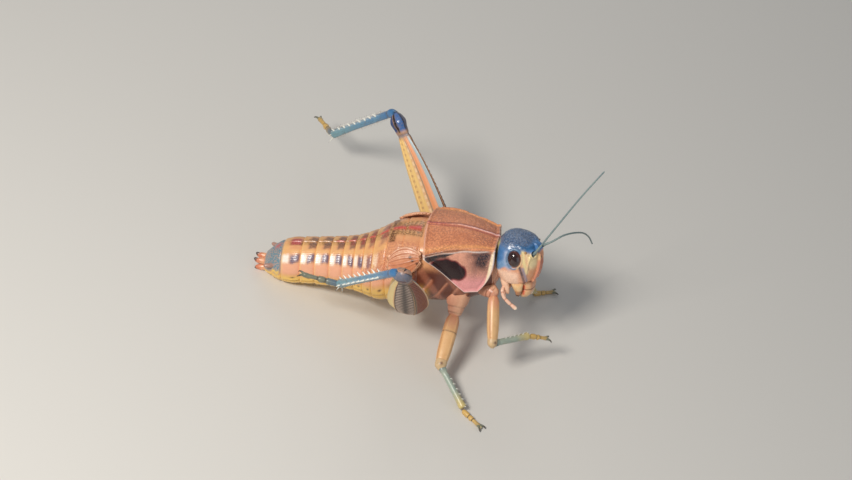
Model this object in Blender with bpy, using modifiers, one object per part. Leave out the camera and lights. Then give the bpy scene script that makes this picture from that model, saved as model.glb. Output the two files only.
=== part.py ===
"""Plains lubber grasshopper, an adult female, as a still life-size model.

Sizes below are in millimetres and are turned into metres where a mesh is made. The body is modelled in its
own frame: +X is forward, +Y is its left side, +Z its back, and the origin is the rear end of the pronotum's keel.
The stance then pitches and rolls the body over the floor, and the legs reach out from their hips in stance
directions, given as a bearing (0 ahead, 90 to the left) and a rise above the horizon, in degrees.
"""

import math

import bmesh
import bpy
from mathutils import Matrix, Vector

MM = 0.001
GAP = 0.25

# Stance: the body leans on its tail and stands on three feet.
BODY_PITCH = 14.0
BODY_ROLL = 3.5
KEEL_HEIGHT = 23.3
ANKLE_HEIGHT = 0.95
SOLE_CUT = 0.12
SLAB_SIZE = Vector((160, 160, 10))

# Pronotum: a saddle of plate with a keel, two side ridges and hanging side lobes.
PRONOTUM_LENGTH = 14.5
PLATE_THICKNESS = 0.8
LOBE_DEPTH = 10.3

# Forewings: short oval pads on the flanks.
WING_PAD_START = -0.1
WING_PAD_LENGTH = 6.3
WING_PAD_LIFTS = (0.3, 0.9)
WING_PAD_ANGLES = (36.0, 82.0)
WING_PAD_RINGS = (0.0, 0.08, 0.25, 0.5, 0.75, 0.92, 1.0)
WING_PAD_POINTS = (-1, -0.4, 0.4, 1)

# Head, in its own frame: the origin is the neck, +X looks out of the face.
NECK = Vector((14.7, 0.0, -7.4))
HEAD_YAW = -16.0
HEAD_ROLL = 12.0
EYE_CENTRE = Vector((4.55, 4.15, 3.5))
EYE_RADII = Vector((1.38, 1.28, 1.78))
ANTENNA_RADIUS = 0.27
LIP_BULGE = 1.2
PALP_RADIUS = 0.4

# Legs: lengths and greatest radii.
FEMUR_LENGTH = {"fore": 10.0, "mid": 11.5, "hind": 31.0}
TIBIA_LENGTH = {"fore": 9.5, "mid": 9.8, "hind": 25.5}
TARSUS_LENGTH = {"fore": 4.6, "mid": 4.8, "hind": 7.4}
FEMUR_RADIUS = {"fore": 1.25, "mid": 1.42}
TIBIA_RADIUS = {"fore": 0.7, "mid": 0.7, "hind": 0.82}
FOOT_RADIUS = {"fore": 0.52, "mid": 0.52, "hind": 0.62}
TIBIA_BEND = {"fore": 0.0, "mid": 0.0, "hind": 1.4}  # how far the shin's knee end is bent off its axis
ANKLE_GAP = 0.28
KNEE_GAP = 1.35
HIP = {
    "fore": Vector((14.3, 5.0, -11.8)),
    "mid": Vector((6.9, 6.5, -16.4)),
    "hind": Vector((0.4, 7.5, -15.0)),
}
HIND_HIP_SWING = {"left": Vector((3.9, 0.0, 0.0)), "right": Vector((-2.6, 0.0, -1.0))}
COXA_ROOT = {
    "fore": Vector((11.3, 2.8, -11.5)),
    "mid": Vector((7.4, 3.2, -12.0)),
    "hind": Vector((-0.2, 3.4, -10.5)),
}
COXA_RADII = {"fore": (1.8, 1.35), "mid": (2.3, 1.6), "hind": (2.6, 1.85)}
SPINES_IN_A_ROW = 9
SPINE_LENGTH = 1.0
SPINE_RADIUS = 0.28
SPUR_LENGTH = 2.0
CLAW_LENGTH = 1.25

# (bearing, rise) of each leg's femur, tibia and tarsus. A rise of None plants that piece on the floor.
POSE = {
    ("fore", "right"): ((-70.8, -37.5), (43.5, -7.5), (30.0, -18.0)),
    ("fore", "left"): ((55.0, -42.0), (35.0, None), (30.0, None)),
    ("mid", "right"): ((-89.0, -26.9), (-43.0, None), (-35.0, None)),
    ("mid", "left"): ((88.0, -22.0), (48.0, None), (42.0, None)),
    ("hind", "right"): ((-100.65, 54.4), (132.1, -49.15), (-179.0, -2.0)),
    ("hind", "left"): ((142.5, 38.1), (136.5, -48.6), (124.0, -15.0)),
}

# Torso stations: x, top, bottom, half width, squareness of the upper half. The lower half is a little boxy.
THORAX_STATIONS = (
    (-7.0, -2.6, -18.0, 7.2, 2.2),
    (-3.5, -1.7, -17.6, 7.5, 2.5),
    (0.0, -1.5, -17.3, 6.8, 3.2),
    (5.0, -1.4, -16.8, 6.6, 3.0),
    (9.5, -2.0, -15.5, 6.2, 2.3),
    (13.8, -3.6, -13.4, 4.6, 2.0),
)
ABDOMEN_STATIONS = (
    (-7.0, -2.7, -18.0, 7.2, 2.2),
    (-9.4, -4.4, -18.1, 7.0, 2.1),
    (-14.3, -6.5, -17.1, 5.5, 2.0),
    (-22.0, -7.8, -16.9, 4.7, 2.0),
    (-27.0, -8.5, -17.3, 4.5, 2.0),
    (-29.2, -9.3, -17.2, 4.0, 2.0),
    (-31.4, -10.9, -16.6, 3.0, 2.0),
    (-32.6, -12.1, -16.0, 2.2, 2.0),
    (-33.5, -13.0, -15.6, 1.5, 2.0),
)
BELLY_SQUARENESS = 2.3
THORAX_SIDES = 22
THORAX_RINGS = (-7.0, -5.2, -3.3, -1.0, 2.0, 5.5, 9.0, 11.3, 12.6)
THORAX_FRONT = (13.05, -0.6)  # x, and how far the front rim is drawn in
ABDOMEN_SIDES = 18
SEGMENT_ENDS = (-7.15, -9.95, -11.9, -13.9, -16.2, -18.9, -21.9, -24.9, -28.9)
SEGMENT_RINGS = ((0.0, -0.25), (0.4, 0.05), (1.0, 0.05))  # share of the length, and how far out
FIRST_RESTING_SEGMENT = 6
TIP_RINGS = (-30.3, -31.5, -32.6, -33.3)

# Tail pieces, on the left side: a cercus, and two valves whose rings give distance back, spread and radius.
CERCUS_ROOT = Vector((-31.4, 3.35, -12.5))
CERCUS_REACH = Vector((-1.0, 0.35, 0.1))
CERCUS_RADII = (0.48, 0.42, 0.26)
VALVE_ROOTS = {"upper": Vector((-33.55, 0.8, -13.6)), "lower": Vector((-33.55, 0.8, -15.1))}
VALVE_RINGS = ((0.0, 0.0, 0.62), (0.75, 0.05, 0.62), (1.4, 0.12, 0.4))

COLOURS = {
    "pronotum_plate": (0.52, 0.16, 0.06),
    "thorax_shell": (0.72, 0.34, 0.2),
    "abdomen_shell": (0.75, 0.38, 0.12),
    "head_shell": (0.7, 0.42, 0.28),
    "eye_glass": (0.05, 0.006, 0.006),
    "mouth_shell": (0.85, 0.6, 0.38),
    "antenna_shell": (0.12, 0.2, 0.21),
    "leg_tan": (0.7, 0.38, 0.13),
    "tibia_grey": (0.32, 0.42, 0.36),
    "femur_shell": (0.55, 0.33, 0.16),
    "tibia_blue": (0.08, 0.28, 0.5),
    "tarsus_shell": (0.6, 0.38, 0.14),
    "wing_pad": (0.8, 0.45, 0.32),
    "tail_valve": (0.75, 0.36, 0.24),
}


def clear_scene():
    for item in list(bpy.data.objects):
        bpy.data.objects.remove(item, do_unlink=True)


def new_collection(name):
    collection = bpy.data.collections.new(name)
    bpy.context.scene.collection.children.link(collection)
    return collection


def new_material(name):
    material = bpy.data.materials.new(name)
    material.use_nodes = True
    shader = material.node_tree.nodes["Principled BSDF"]
    shader.inputs["Base Color"].default_value = (*COLOURS[name], 1.0)
    shader.inputs["Roughness"].default_value = 0.08 if name == "eye_glass" else 0.42
    shader.inputs["Metallic"].default_value = 0.0
    return material


def new_empty(name, parent=None, location=(0, 0, 0), rotation=None):
    empty = bpy.data.objects.new(name, None)
    PARTS.objects.link(empty)
    empty.parent = parent
    empty.location = Vector(location) * MM
    if rotation is not None:
        empty.rotation_euler = rotation.to_euler()
    return empty


def new_object(name, shape, material, parent, place=None, collection=None):
    """Takes a bmesh in millimetres, and gives a smooth object in metres at its place under its parent."""
    bmesh.ops.recalc_face_normals(shape, faces=shape.faces)
    shape.transform(Matrix.Scale(MM, 4))
    mesh = bpy.data.meshes.new(name)
    shape.to_mesh(mesh)
    shape.free()
    mesh.shade_smooth()
    mesh.set_sharp_from_angle(angle=math.radians(40))
    item = bpy.data.objects.new(name, mesh)
    (collection or PARTS).objects.link(item)
    item.parent = parent
    if material:
        mesh.materials.append(MATERIALS[material])
    if place is not None:
        location, rotation, _ = place.decompose()
        item.location = location * MM
        item.rotation_euler = rotation.to_euler()
    return item


def new_cutter(name, shape, parent, place=None):
    cutter = new_object(name, shape, None, parent, place, CUTTERS)
    cutter.hide_render = True
    cutter.display_type = "WIRE"
    return cutter


def add_boolean(item, other, operation):
    modifier = item.modifiers.new(f"{operation.lower()}_{other.name}", "BOOLEAN")
    modifier.operation = operation
    modifier.object = other
    modifier.solver = "EXACT"
    return modifier


def at_station(stations, x):
    """A smooth curve through each column of the stations, read at x."""
    rows = sorted(stations)
    x = min(max(x, rows[0][0]), rows[-1][0])
    here = max(i for i in range(len(rows) - 1) if rows[i][0] <= x)
    before, left, right, after = (rows[min(max(here + k, 0), len(rows) - 1)] for k in (-1, 0, 1, 2))
    span = right[0] - left[0]
    u = (x - left[0]) / span
    values = []
    for column in range(1, len(left)):
        rise = right[column] - left[column]
        start = (right[column] - before[column]) / (right[0] - before[0]) * span
        end = (after[column] - left[column]) / (after[0] - left[0]) * span
        values.append(
            left[column] + start * u + (3 * rise - 2 * start - end) * u**2 + (start + end - 2 * rise) * u**3
        )
    return values


def rounded(value, squareness):
    return math.copysign(abs(value) ** (2.0 / squareness), value)


def loft(rings):
    """Skins a list of rings of points, and closes both ends with a fan to their middle."""
    shape = bmesh.new()
    loops = [[shape.verts.new(point) for point in ring] for ring in rings]
    count = len(rings[0])
    for one, two in zip(loops, loops[1:]):
        for i in range(count):
            j = (i + 1) % count
            shape.faces.new((one[i], one[j], two[j], two[i]))
    for loop in (loops[0], loops[-1]):
        middle = shape.verts.new(sum((vertex.co for vertex in loop), Vector()) / count)
        for i in range(count):
            shape.faces.new((loop[i], loop[(i + 1) % count], middle))
    return shape


def merge(shapes):
    """Puts the meshes of several shapes into the first of them."""
    first = shapes[0]
    for other in shapes[1:]:
        mesh = bpy.data.meshes.new("merged")
        other.to_mesh(mesh)
        other.free()
        first.from_mesh(mesh)
        bpy.data.meshes.remove(mesh)
    return first


def aim(direction, upward):
    """A rotation that sends local +X along direction and keeps local +Z on the upward side."""
    x = direction.normalized()
    y = upward.cross(x).normalized()
    return Matrix((x, y, x.cross(y))).transposed()


def from_angles(bearing, rise):
    bearing, rise = math.radians(bearing), math.radians(rise)
    return Vector((math.cos(rise) * math.cos(bearing), math.cos(rise) * math.sin(bearing), math.sin(rise)))


def mirrored(point, side):
    """The left side's point as it is, or the same point of the right side."""
    return Vector((point.x, point.y if side == "left" else -point.y, point.z))


def torso_point(stations, x, angle, grow=0.0):
    """A point of the torso's cross-section at x. The angle runs from the back down the right side."""
    top, bottom, half_width, squareness = at_station(stations, x)
    middle = (top + bottom) / 2
    power = squareness if math.cos(angle) >= 0 else BELLY_SQUARENESS
    y = -(half_width + grow) * rounded(math.sin(angle), power)
    return Vector((x, y, middle + (top - middle + grow) * rounded(math.cos(angle), power)))


def torso_ring(stations, x, sides, grow=0.0):
    return [torso_point(stations, x, 2 * math.pi * i / sides, grow) for i in range(sides)]


def make_abdomen():
    """Eight ring segments, each a little wider at its rear rim, where the next one tucks in."""
    for number in range(1, len(SEGMENT_ENDS)):
        front, rear = SEGMENT_ENDS[number - 1] - GAP, SEGMENT_ENDS[number]
        rings = [
            torso_ring(ABDOMEN_STATIONS, front + (rear - front) * share, ABDOMEN_SIDES, grow)
            for share, grow in SEGMENT_RINGS
        ]
        segment = new_object(f"abdomen_{number}", loft(rings), "abdomen_shell", BODY)
        if number >= FIRST_RESTING_SEGMENT:
            add_boolean(segment, FLOOR_BLOCK, "DIFFERENCE")
    rings = [torso_ring(ABDOMEN_STATIONS, SEGMENT_ENDS[-1] - GAP, ABDOMEN_SIDES, SEGMENT_RINGS[0][1])]
    rings += [torso_ring(ABDOMEN_STATIONS, x, ABDOMEN_SIDES) for x in TIP_RINGS]
    tip = new_object("abdomen_tip", loft(rings), "abdomen_shell", BODY)
    add_boolean(tip, FLOOR_BLOCK, "DIFFERENCE")
    for side in ("left", "right"):
        make_tail_pieces(side)


def make_tail_pieces(side):
    """A cercus beside the tip, and an upper and a lower valve of the egg-layer behind it."""
    root = mirrored(CERCUS_ROOT, side)
    cercus = tapered(root, root + mirrored(CERCUS_REACH, side), CERCUS_RADII, 8)
    new_object(f"cercus_{side}", cercus, "tail_valve", BODY)
    for level, valve_root in VALVE_ROOTS.items():
        rings = []
        for back, spread, radius in VALVE_RINGS:
            away = spread if level == "upper" else -spread
            centre = mirrored(valve_root + Vector((-back, spread, away)), side)
            rings.append(ring_across(centre, Vector((-1, 0, 0)), Vector((0, 0, 1)), radius, radius * 1.1, 8))
        valve = new_object(f"valve_{level}_{side}", loft(rings), "tail_valve", BODY)
        if level == "lower":
            add_boolean(valve, FLOOR_BLOCK, "DIFFERENCE")


def ring_across(centre, direction, upward, across, height, sides, squareness=2.0):
    """An oval ring round centre, square to direction."""
    turn = aim(direction, upward)
    ring = []
    for i in range(sides):
        angle = 2 * math.pi * i / sides
        y, z = across * rounded(math.sin(angle), squareness), height * rounded(math.cos(angle), squareness)
        ring.append(centre + turn @ Vector((0, y, z)))
    return ring


def tapered(start, end, radii, sides):
    """A straight limb whose radius follows the list from start to end."""
    direction = end - start
    upward = Vector((0, 0, 1)) if abs(direction.normalized().z) < 0.9 else Vector((1, 0, 0))
    steps = len(radii) - 1
    rings = [
        ring_across(start + direction * i / steps, direction, upward, radius, radius, sides)
        for i, radius in enumerate(radii)
    ]
    return loft(rings)


def make_thorax():
    """The two wing-bearing segments and the front one's core, as one body that the plate covers in front."""
    rings = [torso_ring(THORAX_STATIONS, x, THORAX_SIDES) for x in THORAX_RINGS]
    rings.append(torso_ring(THORAX_STATIONS, THORAX_FRONT[0], THORAX_SIDES, THORAX_FRONT[1]))
    new_object("thorax", loft(rings), "thorax_shell", BODY)
    grown = [torso_ring(THORAX_STATIONS, x, THORAX_SIDES, GAP) for x in THORAX_RINGS]
    for ring, end in ((grown[0], THORAX_RINGS[0] - GAP), (grown[-1], THORAX_FRONT[0] + GAP)):
        for point in ring:
            point.x = end
    return new_cutter("thorax_clearance", loft(grown), BODY)


# The plate's lines from its rear to its front: x, then the keel's height, the ridge's half width and height,
# and the half width at the lobe's lower edge.
KEEL_LINE = ((0.0, 0.0), (3.0, 0.05), (6.8, 0.2), (9.6, -0.2), (12.4, -0.9), (15.0, -1.6))
RIDGE_LINE = ((0.0, 8.0, -2.3), (5.2, 6.8, -1.2), (10.5, 5.1, -1.4), (13.0, 4.3, -1.85), (15.0, 3.9, -2.2))
LOBE_LINE = ((0.0, 8.3), (6.0, 8.1), (10.0, 7.6), (14.0, 6.4))
KEEL_CREST = 0.25
PLATE_ROWS = (0.0, 0.15, 0.45, 0.75, 1.0, 1.12, 1.3, 1.55, 1.8, 2.0)
PLATE_COLUMNS = 10
RIDGE_SETBACK = (0.6, 0.4)  # how far the ridge's rear and front ends stand inside the keel's
LOBE_SETBACK = (8.2, 3.0)  # how far the lobe's lower edge stands inside the ridge's ends
LOBE_CORNER = 0.14  # share of the lobe's depth above which its rear edge stays upright


def pronotum_point(row, step):
    """Row 0 is the keel, 1 the side ridge and 2 the lobe's lower edge. Step goes from rear to front."""
    across, down = min(row, 1.0), max(row - 1.0, 0.0)
    rear = RIDGE_SETBACK[0] * across**2 + LOBE_SETBACK[0] * max((down - LOBE_CORNER) / (1 - LOBE_CORNER), 0.0)
    front = PRONOTUM_LENGTH - RIDGE_SETBACK[1] * across - LOBE_SETBACK[1] * down**3
    x = rear + (front - rear) * step
    half_width, ridge = at_station(RIDGE_LINE, x)
    keel = at_station(KEEL_LINE, x)[0]
    if row <= 1.0:
        crest = KEEL_CREST * max(1.0 - row / PLATE_ROWS[1], 0.0)
        return Vector((x, half_width * row, keel + (ridge - keel) * row**2 + crest))
    spread = math.sin(down * math.pi / 2)
    y = half_width + (at_station(LOBE_LINE, x)[0] - half_width) * spread
    return Vector((x, y, ridge + (-LOBE_DEPTH - ridge) * down))


def make_pronotum():
    """The saddle: a grid from lobe to lobe over the back, thickened inwards."""
    last = PLATE_COLUMNS - 1
    half = [[pronotum_point(row, step / last) for step in range(PLATE_COLUMNS)] for row in PLATE_ROWS]
    other = [[Vector((p.x, -p.y, p.z)) for p in line] for line in half[:0:-1]]
    shape = bmesh.new()
    grid = [[shape.verts.new(point) for point in line] for line in other + half]
    for one, two in zip(grid, grid[1:]):
        for i in range(last):
            shape.faces.new((one[i], one[i + 1], two[i + 1], two[i]))
    shell = new_object("pronotum", shape, "pronotum_plate", BODY)
    shell.data.update()
    if shell.data.polygons[len(shell.data.polygons) // 2].normal.z < 0:
        shell.data.flip_normals()
    solidify = shell.modifiers.new("plate", "SOLIDIFY")
    solidify.thickness = PLATE_THICKNESS * MM
    solidify.offset = -1.0


def make_wing_pads():
    """The short oval forewings, which follow the flanks behind the plate."""
    low, high = WING_PAD_ANGLES
    middle, reach = (low + high) / 2, (high - low) / 2
    for side, sign in (("left", 1), ("right", -1)):
        rings = []
        for share in WING_PAD_RINGS:
            x = WING_PAD_START - WING_PAD_LENGTH * share
            spread = reach * math.sqrt(max(1 - (2 * share - 1) ** 2, 0.06))
            angles = [math.radians(middle + spread * k) for k in WING_PAD_POINTS]
            inner, outer = (
                [torso_point(THORAX_STATIONS, x, angle, lift) for angle in angles] for lift in WING_PAD_LIFTS
            )
            rings.append([Vector((p.x, -sign * p.y, p.z)) for p in inner + outer[::-1]])
        new_object(f"tegmen_{side}", loft(rings), "wing_pad", BODY)


# Head capsule: z, back, front, half width.
HEAD_STATIONS = (
    (-2.2, 0.9, 7.0, 3.8),
    (-1.0, 0.1, 7.7, 4.5),
    (0.6, -0.3, 8.1, 4.85),
    (2.2, -0.5, 8.2, 4.9),
    (3.8, -0.45, 8.05, 4.7),
    (5.0, -0.2, 7.6, 4.35),
    (6.0, 0.2, 6.95, 3.7),
    (6.6, 0.7, 6.0, 2.9),
    (7.0, 1.5, 4.5, 1.7),
)
HEAD_RINGS = (-2.2, -1.5, 0.0, 1.6, 3.2, 4.5, 5.5, 6.1, 6.6, 7.0)
HEAD_MIDDLE = 0.45  # where the widest line lies between back and front
FACE_ANGLES = (0, 8, 15, 30, 50, 70, 90, 115, 140, 162)
FACE_SQUARENESS = 2.5
NAPE_SQUARENESS = 2.1
COSTA_HALF_WIDTH = 0.85
COSTA_EDGE = 0.35
COSTA_LIFT = 0.45

# Mouth, on the left side: z, x, y, half length and half width of each oval.
MANDIBLE_OVALS = (
    (-2.45, 5.2, 3.05, 1.25, 0.72),
    (-3.4, 5.4, 2.85, 1.2, 0.72),
    (-4.5, 5.25, 2.5, 0.8, 0.6),
    (-5.3, 5.1, 2.15, 0.4, 0.36),
)
MAXILLA_OVALS = (
    (-2.45, 2.55, 3.0, 1.05, 0.85),
    (-3.4, 2.85, 3.1, 1.0, 0.75),
    (-4.3, 3.25, 3.1, 0.75, 0.6),
    (-4.9, 3.55, 3.05, 0.4, 0.35),
)
LABIUM_OVALS = (
    (-2.45, 1.9, 0.0, 0.6, 1.35),
    (-4.0, 2.2, 0.0, 0.55, 1.2),
    (-5.1, 2.7, 0.0, 0.4, 0.8),
)
# Upper lip: z, half width, front and depth of each ring.
LABRUM_RINGS = (
    (-2.45, 2.3, 7.6, 2.5),
    (-3.6, 2.2, 7.75, 2.3),
    (-4.8, 2.0, 7.5, 1.9),
    (-5.8, 1.3, 6.9, 1.3),
)
PALPS = {
    "palp_maxillary": ((2.9, 4.4, -4.0), (3.4, 4.5, -5.1), (4.4, 4.3, -6.1), (6.2, 3.95, -7.3)),
    "palp_labial": ((2.0, 1.75, -3.2), (2.3, 2.1, -4.9), (2.8, 2.5, -6.5)),
}
# Feelers, from their sockets: the points that each bends through.
ANTENNA_ROOT = Vector((7.75, 2.0, 4.7))
ANTENNA_KNOTS = {
    "right": ((0, 0, 0), (1.1, 0.5, 2.1), (3.6, 1.5, 6.9), (7.0, 3.0, 13.3), (10.4, 4.5, 19.1)),
    "left": ((0, 0, 0), (1.5, 0.4, 1.1), (3.4, 2.4, 2.4), (4.8, 7.5, 1.2), (4.4, 17.2, -5.6)),
}
ANTENNA_WIDTHS = (1.7, 1.2, 1.0, 1.0, 0.95)
NECK_ENDS = (Vector((13.3, 0, -8.0)), Vector((13.65, 0, -8.0)))
NECK_RADII = (2.7, 2.5)


def head_ring(z):
    """A level section of the head, from the front round the left side."""
    back, front, half_width = at_station(HEAD_STATIONS, z)
    middle = back + HEAD_MIDDLE * (front - back)
    angles = FACE_ANGLES + (180,) + tuple(360 - angle for angle in FACE_ANGLES[:0:-1])
    ring = []
    for degrees in angles:
        angle = math.radians(degrees)
        facing = math.cos(angle) >= 0
        power = FACE_SQUARENESS if facing else NAPE_SQUARENESS
        reach = front - middle if facing else middle - back
        x = middle + reach * rounded(math.cos(angle), power)
        y = half_width * rounded(math.sin(angle), power)
        if facing and abs(y) < COSTA_HALF_WIDTH + COSTA_EDGE:
            x += COSTA_LIFT * (1 if abs(y) < COSTA_HALF_WIDTH else COSTA_EDGE)
        ring.append(Vector((x, y, z)))
    return ring


def ellipsoid(centre, radii, segments, rings):
    shape = bmesh.new()
    bmesh.ops.create_uvsphere(shape, u_segments=segments, v_segments=rings, radius=1.0)
    shape.transform(Matrix.Translation(centre) @ Matrix.Diagonal((*radii, 1.0)))
    return shape


def make_head():
    capsule = new_object("head", loft([head_ring(z) for z in HEAD_RINGS]), "head_shell", HEAD)
    for side in ("left", "right"):
        centre = mirrored(EYE_CENTRE, side)
        new_object(f"eye_{side}", ellipsoid(centre, EYE_RADII, 12, 8), "eye_glass", HEAD)
        socket = ellipsoid(centre, EYE_RADII + Vector((GAP, GAP, GAP)), 12, 8)
        add_boolean(capsule, new_cutter(f"eye_socket_{side}", socket, HEAD), "DIFFERENCE")
        make_mouth_side(side)
        make_antenna(side)
    new_object("labium", stacked_ovals(LABIUM_OVALS, "left"), "mouth_shell", HEAD)
    make_labrum()
    new_object("neck", tapered(*NECK_ENDS, NECK_RADII, 14), "thorax_shell", BODY)


def make_labrum():
    """Clypeus and upper lip: a curved plate that hangs from the face."""
    rings = []
    for z, half_width, front, depth in LABRUM_RINGS:
        ring = []
        for i in range(12):
            angle = 2 * math.pi * i / 12
            reach = LIP_BULGE if math.cos(angle) >= 0 else depth - LIP_BULGE
            x = front - LIP_BULGE + reach * math.cos(angle)
            ring.append(Vector((x, half_width * rounded(math.sin(angle), FACE_SQUARENESS), z)))
        rings.append(ring)
    new_object("labrum", loft(rings), "mouth_shell", HEAD)


def stacked_ovals(ovals, side):
    """A mouth piece as level ovals, one under the other."""
    sides = 10
    turns = [2 * math.pi * i / sides for i in range(sides)]
    rings = []
    for z, x, y, length, width in ovals:
        rings.append([
            mirrored(Vector((x + length * math.cos(turn), y + width * math.sin(turn), z)), side)
            for turn in turns
        ])
    return loft(rings)


def make_mouth_side(side):
    """One jaw, the maxilla behind it, and the two palps of its side of the mouth."""
    new_object(f"mandible_{side}", stacked_ovals(MANDIBLE_OVALS, side), "mouth_shell", HEAD)
    new_object(f"maxilla_{side}", stacked_ovals(MAXILLA_OVALS, side), "mouth_shell", HEAD)
    for name, points in PALPS.items():
        path = [mirrored(Vector(point), side) for point in points]
        new_object(f"{name}_{side}", jointed(path, PALP_RADIUS, 6), "mouth_shell", HEAD)


def jointed(path, radius, sides):
    """A feeler of a few joints, waisted between them."""
    upward = Vector((1, 0, 0.2))
    waist = radius * 0.8
    rings = []
    for i, point in enumerate(path):
        ahead = path[min(i + 1, len(path) - 1)] - path[max(i - 1, 0)]
        rings.append(ring_across(point, ahead, upward, waist, waist, sides))
        if i + 1 < len(path):
            along = path[i + 1] - point
            rings.append(ring_across(point + along * 0.5, along, upward, radius, radius, sides))
    return loft(rings)


def make_antenna(side):
    """A thin feeler on a thicker first joint, bent forward from its socket beside the costa."""
    root = mirrored(ANTENNA_ROOT, side)
    curve = bpy.data.curves.new(f"antenna_{side}", "CURVE")
    curve.dimensions = "3D"
    curve.bevel_depth = ANTENNA_RADIUS * MM
    curve.bevel_resolution = 1
    curve.resolution_u = 3
    curve.use_fill_caps = True
    spline = curve.splines.new("BEZIER")
    spline.bezier_points.add(len(ANTENNA_KNOTS[side]) - 1)
    for knot, bend, width in zip(spline.bezier_points, ANTENNA_KNOTS[side], ANTENNA_WIDTHS):
        knot.co = (root + Vector(bend)) * MM
        knot.handle_left_type = knot.handle_right_type = "AUTO"
        knot.radius = width
    antenna = bpy.data.objects.new(f"antenna_{side}", curve)
    PARTS.objects.link(antenna)
    antenna.parent = HEAD
    curve.materials.append(MATERIALS["antenna_shell"])


# Hind femur: share of its length, dorsal and ventral depth, outer and inner half thickness.
FEMUR_STATIONS = (
    (0.0, 1.7, 1.6, 1.1, 1.0),
    (0.08, 3.1, 2.8, 1.8, 1.4),
    (0.22, 4.0, 3.5, 2.1, 1.7),
    (0.38, 3.6, 3.1, 1.9, 1.55),
    (0.55, 2.75, 2.4, 1.5, 1.3),
    (0.72, 1.9, 1.75, 1.15, 1.05),
    (0.86, 1.3, 1.3, 0.95, 0.95),
    (0.93, 1.45, 1.45, 1.15, 1.15),
    (0.975, 1.65, 1.5, 1.3, 1.3),
    (1.02, 1.15, 1.1, 0.95, 0.95),
)
# Its section from the top, down the outer side and up the inner one: share of the half thickness, share of
# the dorsal (+) or ventral (-) depth, and which face.
FEMUR_SECTION = (
    (0.0, 1.0, 0),
    (0.5, 0.78, 1),
    (0.85, 0.5, 1),
    (1.0, 0.0, 1),
    (0.85, -0.62, 1),
    (0.5, -1.0, 1),
    (0.5, -1.0, -1),
    (0.85, -0.62, -1),
    (1.0, 0.0, -1),
    (0.85, 0.5, -1),
    (0.5, 0.78, -1),
)
FEMUR_RINGS = (0.065, 0.1, 0.15, 0.22, 0.3, 0.4, 0.52, 0.64, 0.75, 0.86, 0.92, 0.955, 0.985, 1.02)
HIP_RINGS = (0.05, 0.1, 0.15, 0.22, 0.3)  # the stretch that the coxa makes room for
CORNER_GAP = 1.6  # the section's corners need this much more clearance than its faces

# Round limb pieces: share of the length, and share of the radius.
SMALL_FEMUR_RINGS = (
    (0.0, 0.75), (0.12, 0.95), (0.4, 1.0), (0.75, 0.95), (0.9, 0.85), (0.98, 0.92), (1.05, 0.8), (1.1, 0.48)
)
TIBIA_RINGS = ((0.0, 0.85), (0.06, 1.15), (0.16, 1.0), (0.55, 0.9), (0.94, 1.1), (1.0, 0.95))
TARSUS_RINGS = (
    (0.0, 0.8), (0.08, 1.0), (0.3, 1.0), (0.36, 0.72), (0.45, 0.95), (0.54, 0.9), (0.6, 0.62), (0.92, 0.85),
    (1.0, 0.6),
)
LIMB_NARROWNESS = 0.92  # a limb's width against its height
HIND_KNEE_REACH = -0.6  # the hind shin starts this far behind its knee's axis
SPINE_ROW = (0.26, 0.92)  # the spines' first and last place along the shin
SPINE_SPREAD = (0.42, 0.45)
SPINE_LEAN = Vector((0.45, 0.75, 1.0))
SPUR_ROOT = Vector((-1.0, 0.4, -0.4))  # from the shin's end
SPUR_LEAN = Vector((1.0, 0.55, -0.75))
SPUR_RADIUS = 0.3
CLAW_ROOT = Vector((-0.25, 0.22, 0.02))  # from the foot's end
CLAW_LEAN = Vector((1.0, 0.62, -0.12))
CLAW_RADIUS = 0.27
SPIKE_SUNK = 0.42  # a spike's middle stands this share of its length off its root
COXA_RINGS = (1.15, 0.7)  # the coxa's last two rings, as shares of its lesser radius


def hind_femur_ring(share, outer, grow=0.0):
    """A keeled section: a dorsal keel, a broad outer face between two ridges, and a flat underside."""
    up, down, out, inward = (size + CORNER_GAP * grow for size in at_station(FEMUR_STATIONS, share))
    ring = []
    for across, height, facing in FEMUR_SECTION:
        y = across * facing * (out if facing > 0 else inward)
        z = height * (up if height > 0 else down)
        ring.append(Vector((share * FEMUR_LENGTH["hind"], outer * y, z)))
    return ring


def make_hind_femur(name, outer, place, tibia_clearance):
    shape = loft([hind_femur_ring(share, outer) for share in FEMUR_RINGS])
    femur = new_object(name, shape, "femur_shell", ROOT, place)
    add_boolean(femur, tibia_clearance, "DIFFERENCE")


def limb(rows, start, end, radius, sides, grow=0.0, bend=0.0):
    """A round limb along local +X, from its rows of (share of the length, share of the radius)."""
    rings = []
    for share, swell in rows:
        centre = Vector((start + share * (end - start), 0, bend * bend_share(share)))
        size = radius * swell + grow
        across = size * LIMB_NARROWNESS
        rings.append(ring_across(centre, Vector((1, 0, 0)), Vector((0, 0, 1)), across, size, sides))
    return loft(rings)


def bend_share(share):
    """The bend's height along a shin: up at once from the knee's axis, then evenly down to the ankle."""
    return min((share + 0.02) / 0.08, 1.0) * (1.0 - share)


def make_femur(kind, name, place, start):
    """A fore or mid femur, thickest in its middle and rounded at the knee."""
    shape = limb(SMALL_FEMUR_RINGS, start, FEMUR_LENGTH[kind], FEMUR_RADIUS[kind], 10)
    new_object(name, shape, "leg_tan", ROOT, place)


def tibia_shape(kind, start, grow=0.0):
    end = TIBIA_LENGTH[kind] - ANKLE_GAP
    return limb(TIBIA_RINGS, start, end, TIBIA_RADIUS[kind], 8, grow, TIBIA_BEND[kind])


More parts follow.
